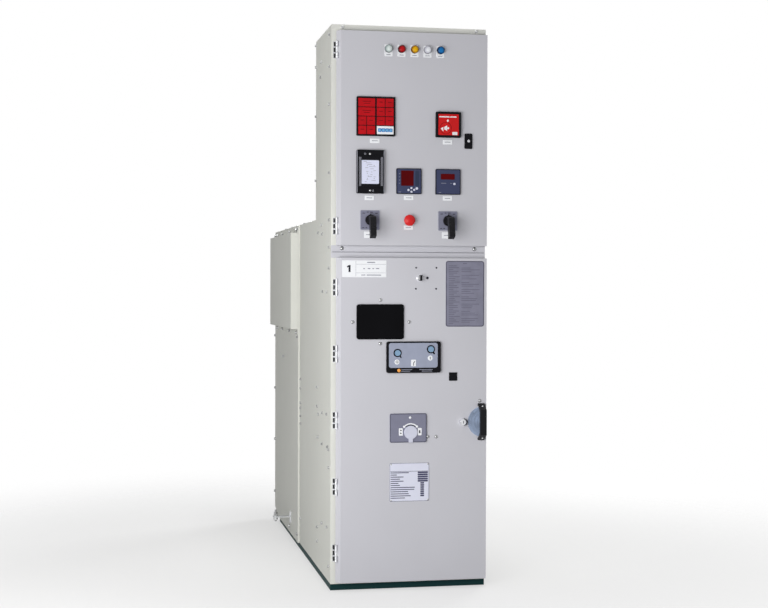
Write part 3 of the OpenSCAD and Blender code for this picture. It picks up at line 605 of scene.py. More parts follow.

# %% [markdown]
# ## Screws and bolts
# Bolts on the body are hexagon heads on round washers, and screws on the doors have a low round head with
# a socket. Both are drawn on any face through its place. A dark ring under a screw is painted shadow
# round its head, and a dark plate in its socket is painted shade in the hollow; both are a bag of their
# own, since they are dark. Real heads never stop at the same angle, so each is turned by a step that
# depends on its number in the row, which gives the same result at each run. Most sizes are shares of the
# width across the flats, or of the radius of the head.


# %% Draw bolts and screws
WASHER_R, WASHER_RIM, HEAD_R, HEAD_H, HEAD_EDGE = 0.74, 0.68, 0.577, 0.55, 0.07
WASHER_T, WASHER_TOP, HEAD_LOW, TURN_STEP = 1.2, 1.7, 1.6, 1.7
SCREW_HEAD = [(1, 0), (1, 0.25), (0.94, 0.42), (0.75, 0.6), (0.46, 0.68), (0.42, 0.64), (0.4, 0.3)]
# Profile of the dark ring under a screw head, which is painted shadow.
SHADOW_RING = [(1.16, 0), (1.16, 0.4), (1.08, 0.6)]
SOCKET_R, SOCKET_LOW, SOCKET_TOP = 0.42, 0.28, 0.5


def hex_bolt(bag, place, u, v, flats, index):
    washer = [(flats * WASHER_R, 0), (flats * WASHER_R, WASHER_T), (flats * WASHER_RIM, WASHER_TOP)]
    turned(bag, place, u, v, washer, 24)
    head = disc(u, v, flats * HEAD_R, 6, index * TURN_STEP)
    plate(bag, place, head, HEAD_LOW, flats * HEAD_H + HEAD_LOW, flats * HEAD_EDGE)


def socket_screw(bag, place, u, v, radius, low=0.0):
    profile = [(radius * r, low + radius * out) for r, out in SCREW_HEAD]
    turned(bag, place, u, v, profile, 20)


# Painted shadow ring round a screw head and painted shade in its socket.
def painted_screw_shade(bag, place, u, v, radius):
    turned(bag, place, u, v, [(radius * r, out) for r, out in SHADOW_RING], 20)
    socket = disc(u, v, SOCKET_R * radius, 6)
    plate(bag, place, socket, SOCKET_LOW * radius, SOCKET_TOP * radius, 0.1)


def bolts(name, place, spots, flats):
    bag = Bag()
    for index, (u, v) in enumerate(spots):
        hex_bolt(bag, place, u, v, flats, index)
    piece(name, bag, zinc_bolt, "housing")


print("a socket screw is turned from", len(SCREW_HEAD), "rings")

# %% [markdown]
# ### Bolts of the body
# The side sheets are bolted to the frame along their edges and where the inner frames sit behind them.
# The first number is the distance behind the front frame and the second the height. Both sides have the
# same rows, since the frames run from side to side.

# %% Bolt the side sheets
SIDE_FLATS, COVER_FLATS = 9.0, 11.0
FRONT_ROW, UPPER_REAR_ROW, LOWER_REAR_ROW, COVER_ROW = 40, 398, 860, 1762
side_spots = [(UPPER_REAR_ROW, z) for z in (2122, 2036, 1837, 1578)]
side_spots += [(FRONT_ROW, z) for z in (2108, 1986, 1843, 1583, 1404, 1301, 1221, 529, 461, 84)]
side_spots += [(LOWER_REAR_ROW, z) for z in (746, 707, 642, 621, 586, 552, 137)]
side_spots += [
    (205, 1131), (99, 1130), (360, 746), (350, 670), (314, 641), (212, 655), (96, 660),
    (326, 548), (218, 532), (73, 536), (214, 221), (344, 184), (82, 227), (343, 128),
    (238, 2033), (221, 1357), (331, 1365), (235, 1393), (270, 1979),
]
cover_spots = [(COVER_ROW, z) for z in (1400, 1150, 907, 647, 392, 133)]
cover_spots += [(1419, 820), (912, 1403), (912, 930), (912, 60), (1180, 52), (1450, 52)]
for side, label in ((1, "left"), (-1, "right")):
    bolts(label + "_side_bolts", facing_side(side * SIDE_X), side_spots, SIDE_FLATS)
    bolts(label + "_cover_bolts", facing_side(side * COVER_X), cover_spots, COVER_FLATS)

# %% [markdown]
# The box over the busbar ends has a flange above and below with four bolts each. The rear covers and the
# roof are bolted round their rims, and the lip of the instrument box has two bolts at the front. The sill
# below it has two screws. Each row is a list of places on one face, so the same function bolts them all.

# %% Bolt the box, the back and the roof
FLANGE_MM, RIM_FLATS, LIP_FLATS = 2, 10.0, 8.0
RIM_XS = (-286, 286)
BACK_ROWS = (72, 235, 400, 565, 712, 762, 925, 1090, 1255, 1402)
ROOF_ROWS = (430, 640, 860, 1080, 1300, 1520, 1760)
LIP_SPOTS = [(-258, 2130.5), (262, 2130.5)]
SILL_XS, SILL_Z, SILL_SCREW_R = (-258, 258), 1296, 6.4

flange_spots = [(u, v) for u in (1660, 1445, 1176, 926) for v in (1398, 948)]
bolts("end_box_bolts", facing_side(COVER_X - FLANGE_MM * MM), flange_spots, COVER_FLATS)
bolts("back_bolts", on_back, [(x, z) for x in RIM_XS for z in BACK_ROWS], RIM_FLATS)
bolts("roof_bolts", facing_up(DECK_Z), [(x, y) for x in RIM_XS for y in ROOF_ROWS], RIM_FLATS)
bolts("lip_bolts", facing_front(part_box("lv_roof")[0].y), LIP_SPOTS, LIP_FLATS)
# Each sill screw gets a dark ring and socket plate as painted shadow and shade.
sill_screws, sill_screw_shadows = Bag(), Bag()
for x in SILL_XS:
    socket_screw(sill_screws, on_frame, x, SILL_Z, SILL_SCREW_R)
    painted_screw_shade(sill_screw_shadows, on_frame, x, SILL_Z, SILL_SCREW_R)
piece("sill_screws", sill_screws, zinc_bolt, "housing")
piece("sill_screw_shadows", sill_screw_shadows, rubber_and_shade, "housing")

# %% [markdown]
# ### Seam between the two boxes
# The instrument box stands on the breaker box, and the sill and the rail below it meet in a narrow joint
# that is filled with grey sealant. It is laid a little proud, as a bead with round ends. A line in the
# paint would stay flat, and a bead of its own catches the light along its edge.

# %% Fill the seam
SEAM_Z, SEAM_W, SEAM_H, SEAM_OUT = 1281.5, 592, 2.2, 0.9
bead = Bag()
plate(bead, on_frame, rounded(0, SEAM_Z, SEAM_W, SEAM_H, 1.0, 3), 0, SEAM_OUT, 0.3)
seam_grey = moulded("seam_grey", seen(120, 120, 128), 0.6)
piece("seam_bead", bead, seam_grey, "housing")

# %% [markdown]
# ### Earth stud
# The flat bar low on the left carries the earth connection: an upright bolt through its hole, with a
# washer above and below, two nuts on top and one underneath. The shank is turned with a fine thread, as
# rings that go in and out by a fraction of a millimetre. A true helix would look the same at this size
# and needs many more faces.

# %% Make the earth stud
bar_low, bar_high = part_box("earth_bar")
STUD_INSET = 12.0
STUD_X = bar_low.x / MM + STUD_INSET
STUD_Y = (bar_low.y + bar_high.y) / 2 / MM
BAR_UNDER, BAR_TOP = 100.0, 105.0
THREAD_R, THREAD_DEPTH, THREAD_LOW, THREAD_STEP, THREAD_RINGS = 4.9, 0.5, 82, 0.9, 60
STUD_WASHER_R, STUD_WASHER_T = 10.2, 1.6
NUT_R, NUT_H, NUT_EDGE, LOCK_NUT_RISE = 9.8, 8.0, 0.9, 11.5


def upright(u, v, out):
    return Vector((u * MM, v * MM, out * MM))


stud = Bag()
thread = [(THREAD_R - THREAD_DEPTH * (i % 2), THREAD_LOW + i * THREAD_STEP) for i in range(THREAD_RINGS)]
turned(stud, upright, STUD_X, STUD_Y, thread, 20)
for low in (BAR_TOP, BAR_UNDER - STUD_WASHER_T):
    high = low + STUD_WASHER_T
    washer = [(STUD_WASHER_R, low), (STUD_WASHER_R, high - 0.3), (STUD_WASHER_R - 0.3, high)]
    turned(stud, upright, STUD_X, STUD_Y, washer, 28)
nuts = (
    (BAR_TOP + STUD_WASHER_T, 0.0),
    (BAR_TOP + LOCK_NUT_RISE, 0.4),
    (BAR_UNDER - STUD_WASHER_T - NUT_H, 0.9),
)
for low, turn in nuts:
    plate(stud, upright, disc(STUD_X, STUD_Y, NUT_R, 6, turn), low, low + NUT_H, NUT_EDGE)
piece("earth_stud", stud, zinc_bolt, "housing")

# %% [markdown]
# ## Hinges
# Each hinge shows a ribbed barrel beside three slots in its leaf, and dark plates in the slots are
# painted shade. The ribs are turned as a sleeve whose radius goes in and out along the pin. Sleeves on
# the outer knuckles ride on the housing and those on the middle knuckle on the door, so that the barrel
# parts when a door opens.

# %% Rib the hinge barrels
HINGE_X, HINGE_Y = -281.0066, -836.5
HINGE_ROWS = {"upper_door": (1379, 2043), "lower_door": (142, 393.5, 645, 896.5, 1148)}
KNUCKLE_H, KNUCKLE_STEP = 20.0, 21.667
SLEEVE_END_R, RIBS = 4.2, 6
RIB = [(4.3, 0.1), (4.7, 0.3), (4.7, 0.75), (4.3, 0.95)]
# Dark plates in the hinge slots as painted shade: a narrow back and a wider front.
SLOT_SHADE_X, SLOT_SHADE_SIZE = -288.1, (4.1, 16.5, 0.6)
SLOT_SHADE_FRONT_X, SLOT_SHADE_FRONT_SIZE = -288.6, (7.0, 16.9, 1.0)


def ribbed_sleeve(bag, middle):
    low = middle - KNUCKLE_H / 2
    pitch = KNUCKLE_H / RIBS
    profile = [(SLEEVE_END_R, low)]
    for i in range(RIBS):
        profile += [(r, low + i * pitch + share * pitch) for r, share in RIB]
    profile.append((SLEEVE_END_R, low + KNUCKLE_H))
    turned(bag, upright, HINGE_X, HINGE_Y, profile, 24)


fixed_ribs, slot_shade = Bag(), Bag()
for door, rows in HINGE_ROWS.items():
    door_ribs = Bag()
    for z in rows:
        ribbed_sleeve(door_ribs, z)
        for step in (-KNUCKLE_STEP, KNUCKLE_STEP):
            ribbed_sleeve(fixed_ribs, z + step)
        for step in (-KNUCKLE_STEP, 0, KNUCKLE_STEP):
            plate(slot_shade, on_frame, rounded(SLOT_SHADE_X, z + step, *SLOT_SHADE_SIZE), 0, 2.6, 0.3)
            plate(slot_shade, on_frame, rounded(SLOT_SHADE_FRONT_X, z + step, *SLOT_SHADE_FRONT_SIZE), 2.4, 3.4, 0.2)
    piece(door + "_hinge_ribs", door_ribs, hinge_zinc, door)
piece("fixed_hinge_ribs", fixed_ribs, hinge_zinc, "housing")
# The dark grey of the slot plates is painted shade.
slot_shade_grey = moulded("slot_shade_grey", seen(52, 52, 54), 0.5, 0.02, mirror=0.1)
piece("hinge_slots", slot_shade, slot_shade_grey, "housing")

# %% [markdown]
# ## Door gaskets
# When a door is open, the frame shows a rubber strip that the folded edge of the door presses on. It has
# a round back and is laid as one closed loop for each opening. A loop is a tube through rounded
# rectangles that step out and in again.


# %% Lay the gaskets
LEAST_CORNER = 1.0
GASKET = [(0, 0), (0, 2.2), (2, 4.0), (5, 4.6), (8, 4.0), (10, 2.2), (10, 0)]
GASKET_X, GASKET_W, GASKET_CORNER = 10.0, 572.0, 12.0
GASKET_ROWS = ((645.0, 1226.0), (1711.0, 804.0))


def loop(bag, place, cx, cz, w, h, r, strip):
    rings = []
    for inset, out in strip:
        corner = max(LEAST_CORNER, r - inset)
        outline = rounded(cx, cz, w - 2 * inset, h - 2 * inset, corner, 4)
        rings.append([place(u, v, out) for u, v in outline])
    bag.tube(rings)


gaskets = Bag()
for cz, h in GASKET_ROWS:
    loop(gaskets, on_frame, GASKET_X, cz, GASKET_W, h, GASKET_CORNER, GASKET)
piece("door_gaskets", gaskets, rubber_and_shade, "housing")

# %% [markdown]
# ## Labels and their rules
# A small plate sits under each instrument and behind each lamp, with a grey rule across it. A label is a
# plate a millimetre thick, and its rule is raised by a tenth, which is about what ink has under a lens.


# %% Labels with rules
INK_ROOT, INK_RISE, INK_EDGE = 0.2, 0.12, 0.05
LABEL_T, LABEL_RULE_H, LABEL_RULE_SHARE = 1.0, 2.4, 0.62
UPPER_LABELS = (
    (-138, 1701.5, 37, 17), (144, 1702, 37, 17), (-158.5, 1486, 35.5, 16.5),
    (-7, 1488, 36.5, 16.5), (144, 1488, 35.5, 17), (-7.5, 1375, 35, 16),
    (-160, 1347, 36, 24), (141, 1347, 36, 24),
)
LAMP_ROW_X, LAMP_PITCH, LAMP_COUNT = 14.5, 50.3, 5
LAMP_XS = [LAMP_ROW_X + (i - LAMP_COUNT // 2) * LAMP_PITCH for i in range(LAMP_COUNT)]
LAMP_Z, LAMP_PLATE_T = 2050, 1.2


def bar(bag, cx, cz, w, h, low):
    outline = rounded(cx, cz, w, h, min(w, h) * 0.3, 2)
    plate(bag, on_door, outline, low - INK_ROOT, low + INK_RISE, INK_EDGE)


upper_plates, upper_rules = Bag(), Bag()
for cx, cz, w, h in UPPER_LABELS:
    plate(upper_plates, on_door, rounded(cx, cz, w, h, 1.2, 3), 0, LABEL_T, 0.3)
    bar(upper_rules, cx, cz, w * LABEL_RULE_SHARE, LABEL_RULE_H, LABEL_T)
for cx in LAMP_XS:
    plate(upper_plates, on_door, rounded(cx, LAMP_Z - 6, 31, 45, 2.5, 4), 0, LAMP_PLATE_T, 0.3)
    bar(upper_rules, cx, LAMP_Z - 22.5, 17, 2.6, LAMP_PLATE_T)
piece("upper_labels", upper_plates, label_white, "upper_door")
piece("upper_label_rules", upper_rules, ink_grey, "upper_door")

# %% [markdown]
# ## Signal lamps
# Five lamps sit in a row: clear, red, amber, white and blue. A lens is a deep dome of coloured plastic
# over a reflector. Its colour carries a painted glow in the middle, set a little low and to the right,
# and painted shade towards the rim. Each lens is a piece of its own, so its generated coordinates run
# from nought to one across it, and the distance from their middle gives the change of tone. The five
# domes stand in for the plain lenses of the CAD model, which share one finish.


# %% Make the lamp lenses
LENS_GLOSS, LENS_MIRROR = 0.14, 0.12
# Painted glow and rim shade: the middle of the glow, low and right of centre, where it ends and where the
# shade starts.
GLOW_MIDDLE = (0.53, 0, 0.46)
GLOW_TO, RIM_SHADE_FROM = 0.2, 0.48
FACET_SCALE, FACET_STRENGTH, FACET_MM = 160.0, 0.1, 0.15


# Lens colour with a painted glow in the middle and painted shade towards the rim.
def painted_lens_glow(name, glow_colour, rim_shade_colour):
    finish, tree, shader, where = start_finish(name, glow_colour, LENS_GLOSS)
    spread = tree.nodes.new("ShaderNodeTexCoord").outputs["Generated"]
    flat = tree.nodes.new("ShaderNodeVectorMath")
    flat.operation = "MULTIPLY"
    flat.inputs[1].default_value = (1, 0, 1)
    tree.links.new(spread, flat.inputs[0])
    reach = tree.nodes.new("ShaderNodeVectorMath")
    reach.operation = "DISTANCE"
    reach.inputs[1].default_value = GLOW_MIDDLE
    tree.links.new(flat.outputs["Vector"], reach.inputs[0])
    stops = [(0.0, glow_colour), (GLOW_TO, glow_colour), (RIM_SHADE_FROM, rim_shade_colour)]
    tree.links.new(ramp(tree, reach.outputs["Value"], stops), shader.inputs["Base Color"])
    relief(tree, shader, noise(tree, where, FACET_SCALE, 1.0), FACET_STRENGTH, FACET_MM)
    shader.inputs["Specular IOR Level"].default_value = LENS_MIRROR
    return finish


# Each colour has a lit tone for the painted glow and a shaded tone for the painted rim shade.
LENS_GLOW_AND_SHADE = {
    "clear": (seen(226, 236, 234), seen(136, 150, 150)),
    "red": (seen(190, 14, 22), seen(76, 2, 6)),
    "amber": (seen(238, 182, 16), seen(128, 78, 4)),
    "white": (seen(238, 240, 246), seen(170, 170, 184)),
    "blue": (seen(22, 118, 190), seen(2, 26, 66)),
}
DOME = [
    (13.7, 5.4), (13.8, 7.0), (14.9, 8.0), (15.0, 9.6), (14.4, 11.6),
    (13.0, 13.6), (10.8, 15.4), (7.8, 16.7), (4.0, 17.5), (0.8, 17.7),
]
DOME_SHARP = 60
for number, (cx, (colour, glow_and_shade)) in enumerate(zip(LAMP_XS, LENS_GLOW_AND_SHADE.items())):
    lens = Bag()
    turned(lens, on_door, cx, LAMP_Z, DOME, 36)
    finish = painted_lens_glow("lens_" + colour, *glow_and_shade)
    made = piece("lamp_lens_" + colour, lens, finish, "upper_door", DOME_SHARP)
    if number == 0:
        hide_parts("lamp_lenses")

# %% [markdown]
# ## Annunciator
# The alarm panel is a black frame round two blocks of red windows. A block is a grid of cells, and a
# window takes one cell or two. Each window is a thin tile with a broken edge, and dark rules lie on the
# tiles. The tiles stand in for the plain windows of the CAD model.

# %% Fill the annunciator
ALARM_X, ALARM_Z, ALARM_FIELD, ALARM_BAR = -135.0, 1793.0, 138.0, 4.0
CELL_W, CELL_H = (ALARM_FIELD - ALARM_BAR) / 4, ALARM_FIELD / 4
TILE_GAP, TILE_LOW, TILE_OUT = 2.4, 7.0, 9.0
WIDE_RULES, SLIM_RULES = ((4, 0.5), (-4, 0.36)), ((2, 0.46),)
blocks = (
    (ALARM_X - ALARM_FIELD / 2, ((0, 0, 1), (1, 0, 1), (0, 1, 1), (1, 1, 1), (0, 2, 2), (0, 3, 2))),
    (ALARM_X + ALARM_BAR / 2, ((0, 1, 1), (1, 1, 1), (0, 2, 1), (1, 2, 1), (0, 3, 1), (1, 3, 1))),
)
tiles, tile_rules = Bag(), Bag()
for x0, cells in blocks:
    for column, row, wide in cells:
        cx = x0 + (column + wide / 2) * CELL_W
        cz = ALARM_Z - ALARM_FIELD / 2 + (row + 0.5) * CELL_H
        w = wide * CELL_W - TILE_GAP
        tile = rounded(cx, cz, w, CELL_H - TILE_GAP, 1.0, 2)
        plate(tiles, on_door, tile, TILE_LOW, TILE_OUT, 0.6)
        for dz, share in WIDE_RULES if wide == 2 else SLIM_RULES:
            bar(tile_rules, cx, cz + dz, w * share, 2.6, TILE_OUT)
alarm = piece("alarm_tiles", tiles, alarm_red, "upper_door")
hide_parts("annunciator_windows")
piece("alarm_tile_rules", tile_rules, ink_red, "upper_door")

# %% [markdown]
# The lower right corner of the alarm panel holds a white strip with four keys. A key is a pale blue
# button in a square ring of a stronger blue, so the ring is a plate and the button is turned on top of
# it.

# %% Add the strip of keys
STRIP_X = ALARM_X + ALARM_BAR / 2 + CELL_W
STRIP_Z = ALARM_Z - ALARM_FIELD / 2 + CELL_H / 2
STRIP_OUT, KEY_COUNT, KEY_PITCH, KEY_RING_W = 9.2, 4, 14.2, 13.6
KEY = [(5.2, 10.2), (5.2, 11.4), (4.6, 12.0), (3.0, 12.3)]
strip, key_rings, keys = Bag(), Bag(), Bag()
strip_outline = rounded(STRIP_X, STRIP_Z, 2 * CELL_W - 3, CELL_H - 4, 1.0, 2)
plate(strip, on_door, strip_outline, TILE_LOW, STRIP_OUT, 0.4)
for i in range(KEY_COUNT):
    cx = STRIP_X + (i - (KEY_COUNT - 1) / 2) * KEY_PITCH
    plate(key_rings, on_door, rounded(cx, STRIP_Z, KEY_RING_W, KEY_RING_W, 3.2, 4), 9.0, 10.4, 0.4)
    turned(keys, on_door, cx, STRIP_Z, KEY, 24)
piece("alarm_key_strip", strip, label_white, "upper_door")
piece("alarm_key_rings", key_rings, key_ring_blue, "upper_door")
piece("alarm_keys", keys, key_blue, "upper_door")

# %% [markdown]
# ## Hooter
# The hooter has a red facia inside a deep black bezel, with a white horn sign, a small lamp, two rules at
# the top and a white panel in the corner. The horn is drawn as plain outlines round the middle of the
# facia: a mouthpiece, a flare and a dot for the sound, inside a thin dark ring. Outlines stay sharp from
# near by, which a picture on the facia would not.

# %% Face the hooter
HOOTER_X, HOOTER_Z = 145.0, 1767.5
HOOTER_W, HOOTER_LOW, HOOTER_OUT = 80, 12.0, 12.9
MOUTHPIECE = [(-20, -27), (-21, -9), (-31, -15)]
FLARE = [(-6, -24), (-6, -3), (-17, -9), (-17, -18)]
SOUND_DOT = disc(-1.5, -13.5, 4.2, 20)
TOP_RULES = [rounded(cx, 29.5, w, 4.4, 1.4, 3) for cx, w in ((-16.5, 41), (18.5, 25))]
CORNER_PANEL = rounded(24.5, -33, 20, 11.5, 1.2, 3)
SMALL_LAMP = [(4.2, 12.7), (4.2, 13.6), (3.4, 14.6), (1.6, 15.0)]
SOUND_RING = [(0, 12.7), (0, 13.1), (1.6, 13.1), (1.6, 12.7)]
SOUND_RING_W, SOUND_RING_R = 46, 22.9
facia, signs, sound_ring = Bag(), Bag(), Bag()
facia_outline = rounded(HOOTER_X, HOOTER_Z, HOOTER_W, HOOTER_W, 1.5, 3)
plate(facia, on_door, facia_outline, HOOTER_LOW, HOOTER_OUT, 0.3)
for outline in (MOUTHPIECE, FLARE, SOUND_DOT, *TOP_RULES, CORNER_PANEL):
    sign = [(HOOTER_X + u, HOOTER_Z + v) for u, v in outline]
    plate(signs, on_door, sign, HOOTER_OUT - INK_ROOT, HOOTER_OUT + 0.15, INK_EDGE)
turned(signs, on_door, HOOTER_X - 3, HOOTER_Z + 15, SMALL_LAMP, 20)
ring_place = (HOOTER_X - 11, HOOTER_Z - 13.5)
loop(sound_ring, on_door, *ring_place, SOUND_RING_W, SOUND_RING_W, SOUND_RING_R, SOUND_RING)
piece("hooter_ring", sound_ring, ink_red, "upper_door")
piece("hooter_face", facia, face_red, "upper_door")
piece("hooter_signs", signs, ink_white, "upper_door")

# %% [markdown]
# ## Protection relay
# The relay is a tall black case with a white card behind a clear cover. Fine rules and dots lie on the
# card. They are as thin as print, so short plates and low turned dots are enough.

# %% Lay the relay card
RELAY_X, RELAY_Z = -156.0, 1584.0
CARD_LOW, CARD_OUT, CARD_INK = 20.0, 21.0, 20.9
RELAY_DOTS = ((-14, 23), (12, 23), (-14, -26), (-11, -17), (12, -26), (-14, -7), (3, -2))
RELAY_DOT = [(1.5, 20.9), (1.5, 21.3), (1.1, 21.5)]
RELAY_RULES = (
    (-22, 37, 13), (-9, 32, 22), (-14, 0, 9), (4, 10, 14), (2, -12, 9),
    (-14, -31, 7), (10, -34, 16), (6, 18, 26), (-16, 14, 12), (-4, 26, 18),
    (14, 3, 10), (-4, -19, 15), (14, -20, 9), (-20, -38, 8),
)
card, card_marks = Bag(), Bag()
plate(card, on_door, rounded(RELAY_X - 3, RELAY_Z - 2, 68, 89, 3, 4), CARD_LOW, CARD_OUT, 0.3)
for u, v in RELAY_DOTS:
    turned(card_marks, on_door, RELAY_X + u, RELAY_Z + v, RELAY_DOT, 12)
for u, v, w in RELAY_RULES:
    rule = rounded(RELAY_X + u, RELAY_Z + v, w, 1.2, 0.5, 2)
    plate(card_marks, on_door, rule, CARD_INK, CARD_INK + 0.2, INK_EDGE)
card_white = moulded("card_white", seen(220, 224, 245), 0.4, 0.0, 0.05, 0.02)
piece("relay_card", card, card_white, "upper_door")
piece("relay_marks", card_marks, ink_grey, "upper_door")

# %% [markdown]
# A screw above and below holds the clear cover. On both sides of the card the cover is ribbed for the
# fingers. The ribs, the strips along the case and the small rings beside the screws are the thick edges
# of clear plastic, and only these edges are modelled. Their grey is a painted glint, the light they catch.

# %% Rib the relay cover
RIBS_PER_SIDE, RIB_PITCH, RIB_X, STRIP_OFF = 31, 3.5, 41.4, 51.6
COVER_SCREW_X = RELAY_X - 2.5
COVER_SCREWS = ((RELAY_Z + 66.5, -19), (RELAY_Z - 71, 11))
COVER_RING_W, COVER_RING_R, COVER_SCREW_R, COVER_OUT = 7.6, 3.7, 3.9, 14.0
COVER_RING = [(0, 13.8), (0, 14.6), (1.2, 14.6), (1.2, 13.8)]
cover_edges, cover_screws = Bag(), Bag()
for side in (-1, 1):
    for number in range(RIBS_PER_SIDE):
        cz = RELAY_Z + (number - RIBS_PER_SIDE // 2) * RIB_PITCH
        rib = rounded(RELAY_X + side * RIB_X, cz, 8.6, 1.6, 0.6, 2)
        plate(cover_edges, on_door, rib, 21.8, 23.0, 0.3)
    edge_strip = rounded(RELAY_X + side * STRIP_OFF, RELAY_Z, 2.4, 158, 1.0, 3)
    plate(cover_edges, on_door, edge_strip, 13.8, 15.0, 0.4)
for cz, aside in COVER_SCREWS:
    socket_screw(cover_screws, on_door, COVER_SCREW_X, cz, COVER_SCREW_R, COVER_OUT)
    ring_place = (COVER_SCREW_X + aside, cz)
    loop(cover_edges, on_door, *ring_place, COVER_RING_W, COVER_RING_W, COVER_RING_R, COVER_RING)
# Painted glint: the grey that the clear edges show in the light.
cover_glint_grey = moulded("cover_edge_glint", seen(164, 165, 176), 0.2, 0.0, 0.1)
piece("relay_cover_edges", cover_edges, cover_glint_grey, "upper_door")
piece("relay_screws", cover_screws, zinc_bolt, "upper_door")

# %% [markdown]
# ## Meters
# Both meters have a dark rim and a slightly lighter blue facia. The left one shows a tall dark red
# display, a band at its side and five round keys; the right one a low display and one key. The facia is a
# thin plate with a hole for the display, so it is laid as a tube between its outline and the opening, and
# the glass lies a little deeper.


# %% Face the meters
LEFT_METER, RIGHT_METER, METER_Z = -7.0, 145.0, 1550.5
METER_W, METER_LOW, METER_OUT, GLASS_GAP = 90, 7.6, 8.5, 0.4
LEFT_DISPLAY = (LEFT_METER - 6.5, METER_Z + 11.5, 49, 58)
RIGHT_DISPLAY = (RIGHT_METER - 1.5, METER_Z + 19.5, 55, 22)


def windowed(bag, face, opening):
    outer, inner = rounded(*face, 2.5, 4), rounded(*opening, 1.0, 4)
    rows = [(outer, METER_LOW), (outer, METER_OUT), (inner, METER_OUT), (inner, METER_LOW)]
    bag.tube([[on_door(u, v, out) for u, v in outline] for outline, out in rows])


facias, displays, band = Bag(), Bag(), Bag()
for cx, display in ((LEFT_METER, LEFT_DISPLAY), (RIGHT_METER, RIGHT_DISPLAY)):
    windowed(facias, (cx, METER_Z, METER_W, METER_W), display)
for (cx, cz, w, h), r, steps in ((LEFT_DISPLAY, 0.8, 3), (RIGHT_DISPLAY, 3.0, 4)):
    pane = rounded(cx, cz, w - GLASS_GAP, h - GLASS_GAP, r, steps)
    plate(displays, on_door, pane, 5.9, 7.0, 0.2)
plate(band, on_door, rounded(LEFT_METER + 31.5, METER_Z + 11, 15, 58, 1.0, 3), 8.3, 8.8, 0.15)
piece("meter_facias", facias, navy_case, "upper_door")
piece("meter_displays", displays, display_red, "upper_door")
piece("meter_band", band, display_band, "upper_door")

# %% [markdown]
# The keys of the meters are low round buttons with a soft edge, and short rules mark the facias. The five
# keys on the left differ in width and not in height, so their profile is scaled across only. The one on
# the right has a profile of its own.

# %% Add the keys and rules of the meters
LEFT_KEYS = (
    (-2.2, -33.2, 4.2), (9.2, -25.6, 4.2), (19.8, -32.4, 4.2), (9.2, -39.6, 4.2), (30.0, -26.8, 5.2),
)
RIGHT_KEY = [(4.6, 8.4), (4.6, 9.6), (3.9, 10.4), (1.8, 10.7)]
METER_RULES = [
    (LEFT_METER - 36, -41, 10), (RIGHT_METER - 32, -41, 10),
    (RIGHT_METER - 18, -5.5, 20), (RIGHT_METER + 12, -5.5, 9),
]
METER_RULES += [(LEFT_METER - 37, dz, 5) for dz in (28, 16, 4, -8)]
meter_keys, meter_rules = Bag(), Bag()
for u, v, r in LEFT_KEYS:
    left_key = [(r, 8.4), (r, 9.6), (r * 0.85, 10.4), (r * 0.4, 10.7)]
    turned(meter_keys, on_door, LEFT_METER + u, METER_Z + v, left_key, 20)
turned(meter_keys, on_door, RIGHT_METER + 24.6, METER_Z - 7.8, RIGHT_KEY, 20)
for cx, dz, w in METER_RULES:
    bar(meter_rules, cx, METER_Z + dz, w, 2.0, METER_OUT)
piece("meter_keys", meter_keys, pale_plastic, "upper_door")
piece("meter_marks", meter_rules, ink_grey, "upper_door")

# %% [markdown]
# ## Switches
# Each switch plate has a rim, lighter than the plate, which is partly a real border and partly a painted
# highlight along its edge, and short ticks for the positions of the handle. The pointer on the handle is a
# small ridge above the hub, and the front of the grip has cross ridges for the fingers. Pointer and ridges
# ride on the handle, so that they turn with it. The grip leans out, so each ridge lies further out than
# the one above it.

# %% Mark the switch plates and handles
SWITCH_XS, SWITCH_Z = (-156.0, 145.0), 1402.0
SWITCH_W, TICK_H, TICK_LOW = 73.6, 2.6, 4.0
SWITCH_RIM = [(0, 3.6), (0, 4.6), (0.4, 4.9), (2.2, 4.9), (2.6, 4.0), (2.6, 3.6)]
SWITCH_TICKS = (
    (-24, 26, 10), (-9, 30, 8), (5, 30, 12), (24, 26, 10), (-26, -29, 8), (-14, -29, 7), (24, -29, 9),
)
GRIP_OUT, GRIP_SLOPE = 73.0, 11 / 61
FIRST_RIDGE, RIDGE_PITCH, RIDGE_COUNT = 8, 6, 8
rims, ticks = Bag(), Bag()
for cx in SWITCH_XS:
    loop(rims, on_door, cx, SWITCH_Z, SWITCH_W, SWITCH_W, 4.0, SWITCH_RIM)
    for u, v, w in SWITCH_TICKS:
        bar(ticks, cx + u, SWITCH_Z + v, w, TICK_H, TICK_LOW)
# The rim is lighter than the plate, partly as a painted highlight along its edge.
switch_rim_and_highlight = moulded("switch_rim_and_highlight", seen(150, 152, 168), 0.4, 0.02)
piece("switch_plate_rims", rims, switch_rim_and_highlight, "upper_door")
piece("switch_plate_ticks", ticks, ink_and_shade_dark, "upper_door")
for cx, body in zip(SWITCH_XS, ("left_switch_handle", "right_switch_handle")):
    ridges = Bag()
    pointer = [(cx - 4, SWITCH_Z + 16), (cx + 4, SWITCH_Z + 16), (cx, SWITCH_Z + 25)]
    plate(ridges, on_door, pointer, 10.0, 20.0, 0.8)
    for row in range(RIDGE_COUNT):
        drop = FIRST_RIDGE + row * RIDGE_PITCH
        out = GRIP_OUT + drop * GRIP_SLOPE
        plate(ridges, on_door, rounded(cx, SWITCH_Z - drop, 17, 2.6, 1.2, 3), out - 2.0, out + 0.9, 0.5)
    piece(body + "_ridges", ridges, black_grip, body)

# %% [markdown]
# ### Lock of the upper door
# The lock has a small chrome barrel with a key slot. The slot is a dark plate as thin as print, since at
# this size no depth is seen in it.

